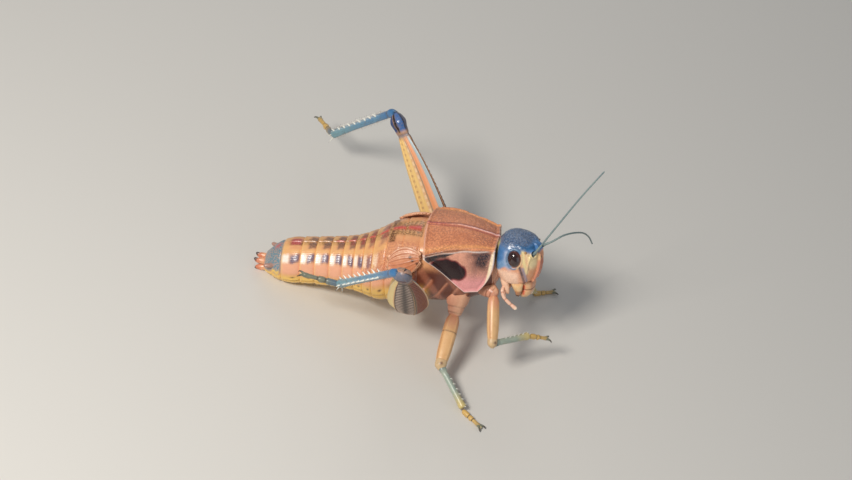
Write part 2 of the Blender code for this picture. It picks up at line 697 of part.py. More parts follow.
def spike(root, direction, length, radius):
    """A cone, sunk a little into what it grows from."""
    shape = bmesh.new()
    tip = radius * 0.25
    bmesh.ops.create_cone(shape, cap_ends=True, segments=5, radius1=radius, radius2=tip, depth=length)
    turn = aim(direction, Vector((0, 1, 0.1))).to_4x4() @ Matrix.Rotation(math.pi / 2, 4, "Y")
    shape.transform(Matrix.Translation(root + direction.normalized() * length * SPIKE_SUNK) @ turn)
    return shape


def make_hind_tibia(name, place):
    """The shin with two rows of spines along its back and a spur on each side of its end."""
    tibia = new_object(name, tibia_shape("hind", HIND_KNEE_REACH), "tibia_blue", ROOT, place)
    spikes = []
    length = TIBIA_LENGTH["hind"]
    first, last = SPINE_ROW
    for side in ("left", "right"):
        lean = mirrored(SPINE_LEAN, side)
        for number in range(SPINES_IN_A_ROW):
            share = first + (last - first) * number / (SPINES_IN_A_ROW - 1)
            spread, height = SPINE_SPREAD
            root = Vector((length * share, spread, height + TIBIA_BEND["hind"] * bend_share(share)))
            spikes.append(spike(mirrored(root, side), lean, SPINE_LENGTH, SPINE_RADIUS))
        spur_root = mirrored(SPUR_ROOT + Vector((length, 0, 0)), side)
        spikes.append(spike(spur_root, mirrored(SPUR_LEAN, side), SPUR_LENGTH, SPUR_RADIUS))
    add_boolean(tibia, new_cutter(f"spines_{name}", merge(spikes), ROOT, place), "UNION")


def make_tarsus(kind, name, place, planted):
    """Three joints with pads beneath, and two claws on the last."""
    length = TARSUS_LENGTH[kind]
    shape = limb(TARSUS_RINGS, ANKLE_GAP, length, FOOT_RADIUS[kind], 7)
    tarsus = new_object(name, shape, "tarsus_shell", ROOT, place)
    claws = []
    for side in ("left", "right"):
        root = mirrored(CLAW_ROOT + Vector((length, 0, 0)), side)
        claws.append(spike(root, mirrored(CLAW_LEAN, side), CLAW_LENGTH, CLAW_RADIUS))
    add_boolean(tarsus, new_cutter(f"claws_{name}", merge(claws), ROOT, place), "UNION")
    if planted:
        add_boolean(tarsus, FLOOR_BLOCK, "DIFFERENCE")


def place_at(point, direction, upward):
    return Matrix.Translation(point) @ aim(direction, upward).to_4x4()


def make_coxa(kind, side, name, hip):
    """The short joint between body and thigh, trimmed where it meets the body."""
    root = mirrored(COXA_ROOT[kind], side)
    wide, narrow = COXA_RADII[kind]
    radii = (wide, wide, narrow * COXA_RINGS[0], narrow * COXA_RINGS[1])
    coxa = new_object(name, tapered(root, hip, radii, 12), "thorax_shell", BODY)
    add_boolean(coxa, THORAX_CLEARANCE, "DIFFERENCE")
    return coxa


def make_leg(kind, side):
    name = f"{kind}_{side}"
    (femur_angles, tibia_angles, tarsus_angles) = POSE[kind, side]
    hip_in_body = mirrored(HIP[kind], side)
    if kind == "hind":
        hip_in_body += HIND_HIP_SWING[side]
    coxa = make_coxa(kind, side, f"coxa_{name}", hip_in_body)
    hip = STANCE @ hip_in_body
    femur_way = from_angles(*femur_angles)
    knee = hip + femur_way * FEMUR_LENGTH[kind]
    if tibia_angles[1] is None:
        dip = math.degrees(math.asin((ANKLE_HEIGHT - knee.z) / TIBIA_LENGTH[kind]))
        tibia_angles = (tibia_angles[0], dip)
    tibia_way = from_angles(*tibia_angles)
    ankle = knee + tibia_way * TIBIA_LENGTH[kind]
    planted = tarsus_angles[1] is None
    # The knee bends in the plane of thigh and shin, so the thigh's back lies on the far side from the shin.
    femur_back = -(tibia_way - femur_way * tibia_way.dot(femur_way))
    femur_place = place_at(hip, femur_way, femur_back)
    tibia_place = place_at(knee, tibia_way, femur_way)
    if kind == "hind":
        outer = -1 if side == "left" else 1
        shin = tibia_shape("hind", HIND_KNEE_REACH, GAP)
        clearance = new_cutter(f"tibia_clearance_{side}", shin, ROOT, tibia_place)
        make_hind_femur(f"femur_{name}", outer, femur_place, clearance)
        base = loft([hind_femur_ring(share, outer, GAP) for share in HIP_RINGS])
        add_boolean(coxa, new_cutter(f"femur_clearance_{side}", base, ROOT, femur_place), "DIFFERENCE")
        make_hind_tibia(f"tibia_{name}", tibia_place)
    else:
        # The thigh starts clear of the coxa's end disc, and further out the more it turns from the coxa.
        coxa_way = STANCE.to_3x3() @ (hip_in_body - mirrored(COXA_ROOT[kind], side))
        start = GAP + COXA_RADII[kind][1] * COXA_RINGS[1] * math.sin(coxa_way.angle(femur_way))
        make_femur(kind, f"femur_{name}", femur_place, start)
        new_object(f"tibia_{name}", tibia_shape(kind, KNEE_GAP), "tibia_grey", ROOT, tibia_place)
    toe_way = from_angles(tarsus_angles[0], 0.0 if planted else tarsus_angles[1])
    start = Vector((ankle.x, ankle.y, FOOT_RADIUS[kind] - SOLE_CUT)) if planted else ankle
    make_tarsus(kind, f"tarsus_{name}", place_at(start, toe_way, Vector((0, 0, 1))), planted)


def box_bottom_centre():
    """The middle of the underside of the box round every part, in metres."""
    bpy.context.view_layer.update()
    graph = bpy.context.evaluated_depsgraph_get()
    points = []
    for item in PARTS.objects:
        if item.type == "EMPTY":
            continue
        evaluated = item.evaluated_get(graph)
        mesh = evaluated.to_mesh()
        points.extend(evaluated.matrix_world @ vertex.co for vertex in mesh.vertices)
        evaluated.to_mesh_clear()
    low = Vector(min(point[axis] for point in points) for axis in range(3))
    high = Vector(max(point[axis] for point in points) for axis in range(3))
    return Vector(((low.x + high.x) / 2, (low.y + high.y) / 2, low.z))


clear_scene()
PARTS = new_collection("grasshopper")
CUTTERS = new_collection("cutters")
MATERIALS = {name: new_material(name) for name in COLOURS}

# ROOT is the floor's frame, BODY hangs in it, and HEAD is on BODY's neck.
ROOT = new_empty("floor_frame")
TURN = Matrix.Rotation(math.radians(-BODY_ROLL), 3, "X") @ Matrix.Rotation(math.radians(-BODY_PITCH), 3, "Y")
STANCE = Matrix.Translation((0, 0, KEEL_HEIGHT)) @ TURN.to_4x4()
BODY = new_empty("body_frame", ROOT, (0, 0, KEEL_HEIGHT), TURN)
HEAD_YAWED = Matrix.Rotation(math.radians(HEAD_YAW), 3, "Z")
HEAD_TURN = HEAD_YAWED @ Matrix.Rotation(math.radians(-HEAD_ROLL), 3, "X")
HEAD = new_empty("head_frame", BODY, NECK, HEAD_TURN)

slab = bmesh.new()
slab_place = Matrix.Translation((0, 0, -SLAB_SIZE.z / 2)) @ Matrix.Diagonal((*SLAB_SIZE, 1))
bmesh.ops.create_cube(slab, size=1.0, matrix=slab_place)
FLOOR_BLOCK = new_cutter("floor_block", slab, ROOT)
THORAX_CLEARANCE = make_thorax()

make_abdomen()
make_pronotum()
make_wing_pads()
make_head()
for leg_kind, leg_side in POSE:
    make_leg(leg_kind, leg_side)
ROOT.location = -box_bottom_centre()
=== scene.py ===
import math

import bpy
import numpy as np
from mathutils import Matrix, Vector


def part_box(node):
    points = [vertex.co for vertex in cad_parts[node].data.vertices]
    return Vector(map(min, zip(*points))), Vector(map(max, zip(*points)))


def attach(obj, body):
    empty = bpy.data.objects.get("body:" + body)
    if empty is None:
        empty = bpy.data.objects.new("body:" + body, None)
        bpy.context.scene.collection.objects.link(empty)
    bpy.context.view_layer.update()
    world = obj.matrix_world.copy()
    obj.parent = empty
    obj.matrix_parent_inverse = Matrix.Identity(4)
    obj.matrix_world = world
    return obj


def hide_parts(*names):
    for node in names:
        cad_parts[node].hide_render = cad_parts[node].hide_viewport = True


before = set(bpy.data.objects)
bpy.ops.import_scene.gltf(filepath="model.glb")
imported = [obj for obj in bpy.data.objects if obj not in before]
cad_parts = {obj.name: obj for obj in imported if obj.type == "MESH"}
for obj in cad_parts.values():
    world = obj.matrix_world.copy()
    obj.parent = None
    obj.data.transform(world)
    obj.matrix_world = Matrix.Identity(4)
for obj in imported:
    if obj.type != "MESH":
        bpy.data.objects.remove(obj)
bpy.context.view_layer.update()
mm = 0.001
bothSides = (("left", 1), ("right", -1))
print("frame loaded")

# How the animal stands. Lengths are in millimetres and angles in degrees all through this script.
stance = {
    "pitch": 14.0,
    "roll": 3.5,
    "neck": (14.7, 0.0, -7.4),
    "headYaw": -16.0,
    "headRoll": 12.0,
    "eye": (4.55, 4.15, 3.5),
    "ankleHeight": 0.95,
    "footHeight": 0.4,
}


def turned(axis, degrees):
    return Matrix.Rotation(math.radians(degrees), 4, axis)


bodyTurn = turned("X", -stance["roll"]) @ turned("Y", -stance["pitch"])
headTurn = bodyTurn @ Matrix.Translation(stance["neck"])
headTurn = headTurn @ turned("Z", stance["headYaw"]) @ turned("X", -stance["headRoll"])
# The left eye of the frame says where the body's origin lies on the floor.
eyeLow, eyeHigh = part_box("eye_left")
origin = Matrix.Translation((eyeLow + eyeHigh) / 2 / mm - headTurn @ Vector(stance["eye"]))
bodyFrame = origin @ bodyTurn
headFrame = origin @ headTurn


class Wire:
    # one socket of a node tree, so that sums on it can be written as sums
    def __init__(self, tree, socket):
        self.tree, self.socket = tree, socket

    def maths(self, operation, *values):
        return self.tree.node("ShaderNodeMath", {"operation": operation}, dict(enumerate(values)))

    def __add__(self, other):
        return self.maths("ADD", self, other)

    def __sub__(self, other):
        return self.maths("SUBTRACT", self, other)

    def __rsub__(self, other):
        return self.maths("SUBTRACT", other, self)

    def __mul__(self, other):
        return self.maths("MULTIPLY", self, other)

    def __truediv__(self, other):
        return self.maths("DIVIDE", self, other)

    def __rtruediv__(self, other):
        return self.maths("DIVIDE", other, self)

    __radd__, __rmul__ = __add__, __mul__

    def __abs__(self):
        return self.maths("ABSOLUTE", self)

    def fraction(self):
        return self.maths("FRACT", self)

    def power(self, exponent):
        return self.maths("POWER", self, exponent)

    def larger(self, other):
        return self.maths("MAXIMUM", self, other)

    def clipped(self):
        return self.maths("MINIMUM", self.larger(0.0), 1.0)


class Tree:
    # a shader tree or a geometry tree; every node of it comes from node()
    def __init__(self, tree):
        self.tree = tree

    def node(self, kind, settings=None, values=None, output=0):
        made = self.tree.nodes.new(kind)
        for key, setting in (settings or {}).items():
            setattr(made, key, setting)
        for key, value in (values or {}).items():
            if isinstance(value, Wire):
                self.tree.links.new(value.socket, made.inputs[key])
            else:
                made.inputs[key].default_value = value
        return Wire(self, made.outputs[output])

    def blend(self, one, two, share):
        return self.node(
            "ShaderNodeMix", {"data_type": "RGBA", "clamp_factor": True}, {0: share, 6: one, 7: two}, 2
        )

    def scaled(self, vector, factor):
        return self.node("ShaderNodeVectorMath", {"operation": "SCALE"}, {0: vector, "Scale": factor})

    def attribute(self, name, kind="FLOAT"):
        if self.tree.type == "SHADER":
            return self.node("ShaderNodeAttribute", {"attribute_name": name}, {}, "Fac")
        return self.node("GeometryNodeInputNamedAttribute", {"data_type": kind}, {"Name": name})

    def stored(self, geometry, name, value):
        values = {"Geometry": geometry, "Name": name, "Value": value}
        return self.node(
            "GeometryNodeStoreNamedAttribute", {"data_type": "FLOAT", "domain": "POINT"}, values
        )

    def moved(self, geometry, offset):
        return self.node("GeometryNodeSetPosition", {}, {"Geometry": geometry, "Offset": offset})


def shade(red, green, blue):
    # a screen colour, 0 to 255, as the linear one that nodes take
    parts = [v / 255 for v in (red, green, blue)]
    return tuple(v / 12.92 if v <= 0.04045 else ((v + 0.055) / 1.055) ** 2.4 for v in parts) + (1.0,)


def cuticle(name, look):
    # a shell material: two base colours in soft clouds, then one painted layer for each mask of the piece
    material = bpy.data.materials.new(name)
    material.use_nodes = True
    paint = Tree(material.node_tree)
    spot = paint.node("ShaderNodeTexCoord", {}, {}, "Object")

    def grain(size, detail=3.0):
        values = {"Vector": spot, "Scale": 1 / (size * mm), "Detail": detail, "Roughness": 0.6}
        return paint.node("ShaderNodeTexNoise", {}, values, "Fac")

    def cells(size):
        return paint.node(
            "ShaderNodeTexVoronoi",
            {"feature": "F1"},
            {"Vector": spot, "Scale": 1 / (size * mm)},
            "Distance",
        )

    cloud = ((grain(look["cloud"]) - 0.5) * 2.2 + 0.5).clipped()
    colour = paint.blend(shade(*look["base"]), shade(*look["second"]), cloud)
    fleck = grain(look.get("fleck", 0.35), 2.0)
    for mask, tone, ragged, broken in look.get("layers", ()):
        cover = paint.attribute(mask)
        if ragged:
            cover = (cover + (fleck - 0.5) * (cover * (1.0 - cover)) * (ragged * 8)).clipped()
        if broken:
            cover = cover * (1.0 - ((fleck - 0.47) * 16.0).clipped() * broken)
        colour = paint.blend(colour, shade(*tone), cover)
    if "grit" in look:
        size, tone, amount, mask = look["grit"]
        colour = paint.blend(
            colour, shade(*tone), ((cells(size) - 0.4) * 4.0).clipped() * amount * paint.attribute(mask)
        )
    rough = (fleck - 0.5) * look.get("roughSpread", 0.2) + look["rough"]
    for mask, value in look.get("gloss", ()):
        cover = paint.attribute(mask)
        rough = rough * (1.0 - cover) + cover * value
    shader = material.node_tree.nodes["Principled BSDF"]
    material.node_tree.links.new(colour.socket, shader.inputs["Base Color"])
    material.node_tree.links.new(rough.clipped().socket, shader.inputs["Roughness"])
    shader.inputs["Coat Weight"].default_value = look.get("coat", 0.15)
    shader.inputs["Coat Roughness"].default_value = look.get("coatRough", 0.25)
    shader.inputs["Subsurface Weight"].default_value = 0.0
    height = grain(look.get("bumpSize", 0.18), 4.0) * look.get("bump", 0.5)
    if "pits" in look:
        size, depth, mask = look["pits"]
        pits = (cells(size) * 1.6).clipped() * depth
        height = height + (pits * paint.attribute(mask) if mask else pits)
    bump = paint.node(
        "ShaderNodeBump",
        {},
        {"Strength": 0.9, "Distance": look.get("relief", 0.06) * mm, "Height": height},
        "Normal",
    )
    material.node_tree.links.new(bump.socket, shader.inputs["Normal"])
    return material


# grids of points

def alongStations(stations, where):
    # smooth curves through the columns of a station table, read at every place asked
    table = np.array(sorted(stations), float)
    places, values = table[:, 0], table[:, 1:]
    slopes = np.empty_like(values)
    slopes[1:-1] = (values[2:] - values[:-2]) / (places[2:] - places[:-2])[:, None]
    slopes[0] = (values[1] - values[0]) / (places[1] - places[0])
    slopes[-1] = (values[-1] - values[-2]) / (places[-1] - places[-2])
    where = np.clip(where, places[0], places[-1])
    here = np.clip(np.searchsorted(places, where) - 1, 0, len(places) - 2)
    span = (places[here + 1] - places[here])[..., None]
    u = (where - places[here])[..., None] / span
    rise = values[here + 1] - values[here]
    first, last = slopes[here] * span, slopes[here + 1] * span
    return (
        values[here] + first * u + (3 * rise - 2 * first - last) * u**2 + (first + last - 2 * rise) * u**3
    )


def chained(start, *runs):
    # even steps from place to place; each run is where it ends and how many points it has
    parts = []
    for end, count in runs:
        parts.append(np.linspace(start, end, count)[:-1])
        start = end
    return np.concatenate([*parts, [start]])


def around(sides):
    # the angles of a round section, as one row
    return np.linspace(0, 2 * math.pi, sides, endpoint=False)[None, :]


def folded(points):
    # the same points, all on the left side
    return np.stack([points[..., 0], np.abs(points[..., 1]), points[..., 2]], axis=-1)


def rounded(value, squareness):
    return np.sign(value) * np.abs(value) ** (2.0 / squareness)


def soft(low, high, value):
    # 0 below low, 1 above high and a smooth ramp between them
    u = np.clip((value - low) / (high - low), 0, 1)
    return u * u * (3 - 2 * u)


def within(low, high, edge, value):
    return soft(low - edge, low + edge, value) * (1 - soft(high - edge, high + edge, value))


def bell(value, width):
    return np.exp(-((value / width) ** 2))


def segmentDistance(x, z, start, end):
    # how far each point of a plane lies from a straight stroke on it
    start, end = np.array(start, float), np.array(end, float)
    along = end - start
    u = np.clip(((x - start[0]) * along[0] + (z - start[1]) * along[1]) / (along @ along), 0, 1)
    return np.hypot(x - start[0] - along[0] * u, z - start[1] - along[1] * u)


def outward(grid, wraps=True):
    # unit normals of a grid, pointing away from the middle of each row
    down = np.gradient(grid, axis=0)
    over = (np.roll(grid, -1, axis=1) - np.roll(grid, 1, axis=1)) if wraps else np.gradient(grid, axis=1)
    normals = np.cross(down, over)
    normals /= np.maximum(np.linalg.norm(normals, axis=2, keepdims=True), 1e-9)
    away = grid - grid.mean(axis=1, keepdims=True)
    return normals if (normals * away).sum() > 0 else -normals


def lifted(grid, lift, wraps=True):
    # the grid pushed out along its normals, in millimetres
    return grid + outward(grid, wraps) * lift[..., None]


def added(name, data):
    item = bpy.data.objects.new(name, data)
    bpy.context.scene.collection.objects.link(item)
    return item


def meshPiece(name, points, faces, masks=None, place=bodyFrame):
    # an object in metres at the origin, whose points never go below the floor
    turn = np.array(place.to_3x3())
    world = (np.asarray(points) @ turn.T + np.array(place.translation)) * mm
    world[:, 2] = np.maximum(world[:, 2], 0.0)
    mesh = bpy.data.meshes.new(name)
    mesh.from_pydata(world.tolist(), [], faces)
    mesh.shade_smooth()
    mesh.calc_loop_triangles()
    corners = world[np.array([triangle.vertices for triangle in mesh.loop_triangles], int).reshape(-1, 3)]
    if np.linalg.det(corners).sum() < 0:
        mesh.flip_normals()
    for key, values in (masks or {}).items():
        layer = mesh.attributes.new(key, "FLOAT", "POINT")
        layer.data.foreach_set("value", np.asarray(values, np.float32).ravel())
    return added(name, mesh)


def skin(name, grid, masks=None, place=bodyFrame, wraps=True, capped=True):
    # quads over a grid, closed at both ends with a fan, facing outwards
    rows, columns = grid.shape[:2]
    points = grid.reshape(-1, 3)
    index = np.arange(rows * columns).reshape(rows, columns)
    left = index if wraps else index[:, :-1]
    right = np.roll(index, -1, axis=1) if wraps else index[:, 1:]
    faces = np.stack([left[:-1], right[:-1], right[1:], left[1:]], axis=-1).reshape(-1, 4).tolist()
    masks = {key: np.broadcast_to(value, (rows, columns)).ravel() for key, value in (masks or {}).items()}
    if capped:
        for end, turnRound in ((0, True), (-1, False)):
            ring, centre = index[end], len(points)
            points = np.vstack([points, grid[end].mean(axis=0)])
            pairs = zip(ring.tolist(), np.roll(ring, -1).tolist())
            faces += [[b, a, centre] if turnRound else [a, b, centre] for a, b in pairs]
            masks = {key: np.append(value, value[ring].mean()) for key, value in masks.items()}
    return meshPiece(name, points, faces, masks, place)


def rimDistance(grid):
    # how far every point of an open grid lies from its nearest rim
    far = []
    for axis in (0, 1):
        steps = np.cumsum(np.linalg.norm(np.diff(grid, axis=axis), axis=2), axis=axis)
        steps = np.concatenate([np.zeros_like(np.take(steps, [0], axis=axis)), steps], axis=axis)
        far += [steps, np.take(steps, [-1], axis=axis) - steps]
    return np.minimum.reduce(far)


def shell(name, outer, thickness, masks, place=bodyFrame):
    # a plate with rounded rims: the outer face, and an inner one below it
    rows, columns = outer.shape[:2]
    normals, half = outward(outer, wraps=False), thickness / 2
    near = half - np.minimum(rimDistance(outer), half)
    drop = (half - np.sqrt(half**2 - near**2))[..., None] * 0.95
    points = np.concatenate(
        [(outer - normals * drop).reshape(-1, 3), (outer - normals * (thickness - drop)).reshape(-1, 3)]
    )
    count = rows * columns
    index = np.arange(count).reshape(rows, columns)
    faces = np.stack([index[:-1, :-1], index[:-1, 1:], index[1:, 1:], index[1:, :-1]], axis=-1)
    faces = faces.reshape(-1, 4)
    loop = np.concatenate([index[0, :-1], index[:-1, -1], index[-1, :0:-1], index[:0:-1, 0]])
    after = np.roll(loop, -1)
    rim = np.stack([after, loop, loop + count, after + count], axis=-1)
    faces = np.concatenate([faces, faces[:, ::-1] + count, rim]).tolist()
    masks = {
        key: np.tile(np.broadcast_to(value, (rows, columns)).ravel(), 2) for key, value in masks.items()
    }
    masks["grain"] = (
        np.concatenate([masks["grain"][:count], np.zeros(count)]) if "grain" in masks
        else np.zeros(count * 2)
    )
    return meshPiece(name, points, faces, masks, place)


def tube(path, radii, sides=24, up=(0, 0, 1), squareness=2.0):
    # rings round a path; radii are one number, or across and along the up side, at each point
    path = np.asarray(path, float)
    radii = np.asarray(radii, float)
    radii = np.stack([radii, radii], axis=1) if radii.ndim == 1 else radii
    ahead = np.gradient(path, axis=0)
    ahead /= np.linalg.norm(ahead, axis=1, keepdims=True)
    side = np.cross(np.array(up, float), ahead)
    side /= np.linalg.norm(side, axis=1, keepdims=True)
    above = np.cross(ahead, side)
    angle = around(sides)[..., None]
    across, high = rounded(np.sin(angle), squareness), rounded(np.cos(angle), squareness)
    wide = side[:, None] * (radii[:, None, :1] * across)
    tall = above[:, None] * (radii[:, None, 1:] * high)
    return path[:, None] + wide + tall


def curvePoints(knots, count):
    # a smooth path through a few knots
    knots = np.asarray(knots, float)
    steps = np.concatenate([[0], np.cumsum(np.linalg.norm(np.diff(knots, axis=0), axis=1))])
    return alongStations(np.column_stack([steps, knots]).tolist(), np.linspace(0, steps[-1], count))


def joined(name, pieces):
    first = pieces[0]
    if len(pieces) > 1:
        with bpy.context.temp_override(active_object=first, selected_editable_objects=pieces):
            bpy.ops.object.join()
    first.name = first.data.name = name
    return first


def baked(piece):
    # turns what the modifiers make into the piece's own plain mesh
    graph = bpy.context.evaluated_depsgraph_get()
    made = bpy.data.meshes.new_from_object(
        piece.evaluated_get(graph), preserve_all_data_layers=True, depsgraph=graph
    )
    if piece.type == "MESH":
        piece.modifiers.clear()
        piece.data = made
        return piece
    name = piece.name
    fresh = added(name + "Mesh", made)
    bpy.data.objects.remove(piece)
    fresh.name = name
    return fresh


def finished(piece, material, slot, *nodes):
    # material and body of a piece, which stays above the floor and may take the place of CAD nodes
    places = np.empty(len(piece.data.vertices) * 3, np.float32)
    piece.data.vertices.foreach_get("co", places)
    places[2::3] = np.maximum(places[2::3], 0.0)
    piece.data.vertices.foreach_set("co", places)
    piece.data.materials.clear()
    piece.data.materials.append(material)
    piece.data.polygons.foreach_set("material_index", np.zeros(len(piece.data.polygons), np.int32))
    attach(piece, "root")
    if nodes:
        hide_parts(*nodes)
    return piece


# geometry trees for what repeats

def newRecipe(name, inputs):
    # a geometry tree with named inputs; gives the tree, its builder and a wire for each input
    group = bpy.data.node_groups.new(name, "GeometryNodeTree")
    group.interface.new_socket("Geometry", in_out="INPUT", socket_type="NodeSocketGeometry")
    for key, value in inputs.items():
        kind = "NodeSocketInt" if isinstance(value, int) else "NodeSocketFloat"
        if value is None:
            kind = "NodeSocketMaterial"
        socket = group.interface.new_socket(key, in_out="INPUT", socket_type=kind)
        if value is not None:
            socket.default_value = value
    group.interface.new_socket("Geometry", in_out="OUTPUT", socket_type="NodeSocketGeometry")
    build = Tree(group)
    start = group.nodes.new("NodeGroupInput")
    wires = {socket.name: Wire(build, socket) for socket in start.outputs if socket.name}
    return group, build, wires


def closeRecipe(group, build, geometry, material=None):
    geometry = build.node("GeometryNodeRealizeInstances", {}, {"Geometry": geometry})
    if material:
        geometry = build.node("GeometryNodeSetMaterial", {}, {"Geometry": geometry, "Material": material})
    end = group.nodes.new("NodeGroupOutput")
    group.links.new(geometry.socket, end.inputs[0])


def applyRecipe(piece, group, values):
    modifier = piece.modifiers.new(group.name, "NODES")
    modifier.node_group = group
    for item in group.interface.items_tree:
        if item.in_out == "INPUT" and item.name in values:
            modifier[item.identifier] = values[item.name]
    return baked(piece)


def granuleRecipe():
    # lifts small rounded grains out of a shell where its grain mask asks for them
    group, build, given = newRecipe("shellGranules", {"Grain Size": 0.5, "Grain Height": 0.1})
    cells = {
        "Vector": build.node("GeometryNodeInputPosition"),
        "Scale": 1000.0 / given["Grain Size"],
        "Randomness": 0.9,
    }
    far = build.node("ShaderNodeTexVoronoi", {"feature": "SMOOTH_F1"}, cells, "Distance")
    lift = (1.0 - far * 1.5).clipped() * given["Grain Height"] * build.attribute("grain") * mm
    offset = build.scaled(build.node("GeometryNodeInputNormal"), lift)
    closeRecipe(group, build, build.moved(given["Geometry"], offset))
    return group


def herringboneRecipe():
    # slanting ridges that meet on the midline of the thigh's broad face
    group, build, given = newRecipe("thighHerringbone", {"Pitch": 1.0, "Height": 0.12, "Slant": 1.6})
    phase = build.attribute("reach") / given["Pitch"] + build.attribute("spread") * given["Slant"]
    ridge = (1.0 - abs(phase.fraction() - 0.5) * 3.4).clipped() * build.attribute("field")
    offset = build.scaled(build.node("GeometryNodeInputNormal"), ridge * given["Height"] * mm)
    closeRecipe(group, build, build.moved(build.stored(given["Geometry"], "ladder", ridge), offset))
    return group


def thornRecipe():
    # one thorn on every point, along the point's own lean, with its length and width
    inputs = {"Sides": 9, "Tip Width": 0.08, "Material": None}
    group, build, given = newRecipe("thorns", inputs)
    cone = {
        "Vertices": given["Sides"],
        "Side Segments": 5,
        "Radius Top": given["Tip Width"],
        "Radius Bottom": 1.0,
        "Depth": 1.0,
    }
    thorn = build.node("GeometryNodeMeshCone", {"fill_type": "NGON"}, cone)
    place = build.node("GeometryNodeInputPosition")
    high = build.node("ShaderNodeSeparateXYZ", {}, {0: place}, "Z")
    thorn = build.stored(thorn, "tip", ((high - 0.8) * 6.0).clipped())
    bend = build.node("ShaderNodeCombineXYZ", {}, {"X": high * high * 0.35})
    thorn = build.moved(thorn, bend)
    lean, size = (build.attribute(name, "FLOAT_VECTOR") for name in ("lean", "size"))
    turn = build.node("FunctionNodeAlignRotationToVector", {"axis": "Z"}, {"Vector": lean})
    spread = {"Points": given["Geometry"], "Instance": thorn, "Rotation": turn, "Scale": size}
    closeRecipe(group, build, build.node("GeometryNodeInstanceOnPoints", {}, spread), given["Material"])
    return group


def hairRecipe():
    # sparse fine bristles where the hair mask is set
    inputs = {"Bristles": 20.0, "Length": 0.35, "Width": 0.018, "Seed": 3, "Material": None}
    group, build, given = newRecipe("bristles", inputs)
    spread = {
        "Mesh": given["Geometry"],
        "Density": given["Bristles"] * build.attribute("hair") / (mm * mm),
        "Seed": given["Seed"],
    }
    points = build.node("GeometryNodeDistributePointsOnFaces", {"distribute_method": "RANDOM"}, spread)
    normal = Wire(build, points.socket.node.outputs["Normal"])
    wild = build.node(
        "FunctionNodeRandomValue",
        {"data_type": "FLOAT_VECTOR"},
        {0: (-0.5, -0.5, -0.5), 1: (0.5, 0.5, 0.5), "Seed": 7},
    )
    lean = build.node("ShaderNodeVectorMath", {"operation": "ADD"}, {0: normal, 1: wild})
    cone = {"Vertices": 3, "Side Segments": 1, "Radius Top": 0.0, "Radius Bottom": 1.0, "Depth": 1.0}
    hair = build.node("GeometryNodeMeshCone", {"fill_type": "NGON"}, cone)
    turn = build.node("FunctionNodeAlignRotationToVector", {"axis": "Z"}, {"Vector": lean})
    length = build.node("FunctionNodeRandomValue", {"data_type": "FLOAT"}, {2: 0.6, 3: 1.2, "Seed": 11}, 1)
    size = {"X": given["Width"] * mm, "Y": given["Width"] * mm, "Z": length * given["Length"] * mm}
    scale = build.node("ShaderNodeCombineXYZ", {}, size)
    placed = {"Points": points, "Instance": hair, "Rotation": turn, "Scale": scale}
    closeRecipe(group, build, build.node("GeometryNodeInstanceOnPoints", {}, placed), given["Material"])
    return group


def feelerRecipe():
    # a feeler of many short rings along a curve, thick in its first two joints
    inputs = {
        "Rings": 24, "Width": 0.25, "Taper": 0.25, "Waist": 0.2, "Base Length": 0.05, "Base Width": 0.3
    }
    group, build, given = newRecipe("ringedFeeler", {**inputs, "Material": None})
    curve = build.node("GeometryNodeResampleCurve", {}, {"Curve": given["Geometry"], "Count": 260})
    along = build.node("GeometryNodeSplineParameter")
    ringed = (along * given["Rings"]).fraction()
    waist = 1.0 - (abs(ringed - 0.5) * 2.0).power(6.0) * given["Waist"]
    slim = given["Width"] * (1.0 - along * given["Taper"]) * waist
    first = (
        (1.0 - ((along - given["Base Length"]) * 160.0).clipped())
        * (1.0 - abs(along / given["Base Length"] - 0.45) * 0.5)
    )
    second = (1.0 - ((along - given["Base Length"] * 1.7) * 160.0).clipped()) * 1.25
    width = (slim * second.larger(1.0)).larger(first * given["Base Width"])
    tipEnd = 1.0 - ((along - 0.985) * 66.0).clipped() * 0.8
    profile = build.node(
        "GeometryNodeCurvePrimitiveCircle", {"mode": "RADIUS"}, {"Resolution": 14, "Radius": mm}
    )
    made = {"Curve": curve, "Profile Curve": profile, "Scale": width * tipEnd, "Fill Caps": True}
    closeRecipe(group, build, build.node("GeometryNodeCurveToMesh", {}, made), given["Material"])
    return group


granules, herringbone, thorns, bristles, ringedFeeler = (
    granuleRecipe(), herringboneRecipe(), thornRecipe(), hairRecipe(), feelerRecipe()
)
print("recipes ready")

# torso: neck, thorax and abdomen under one skin

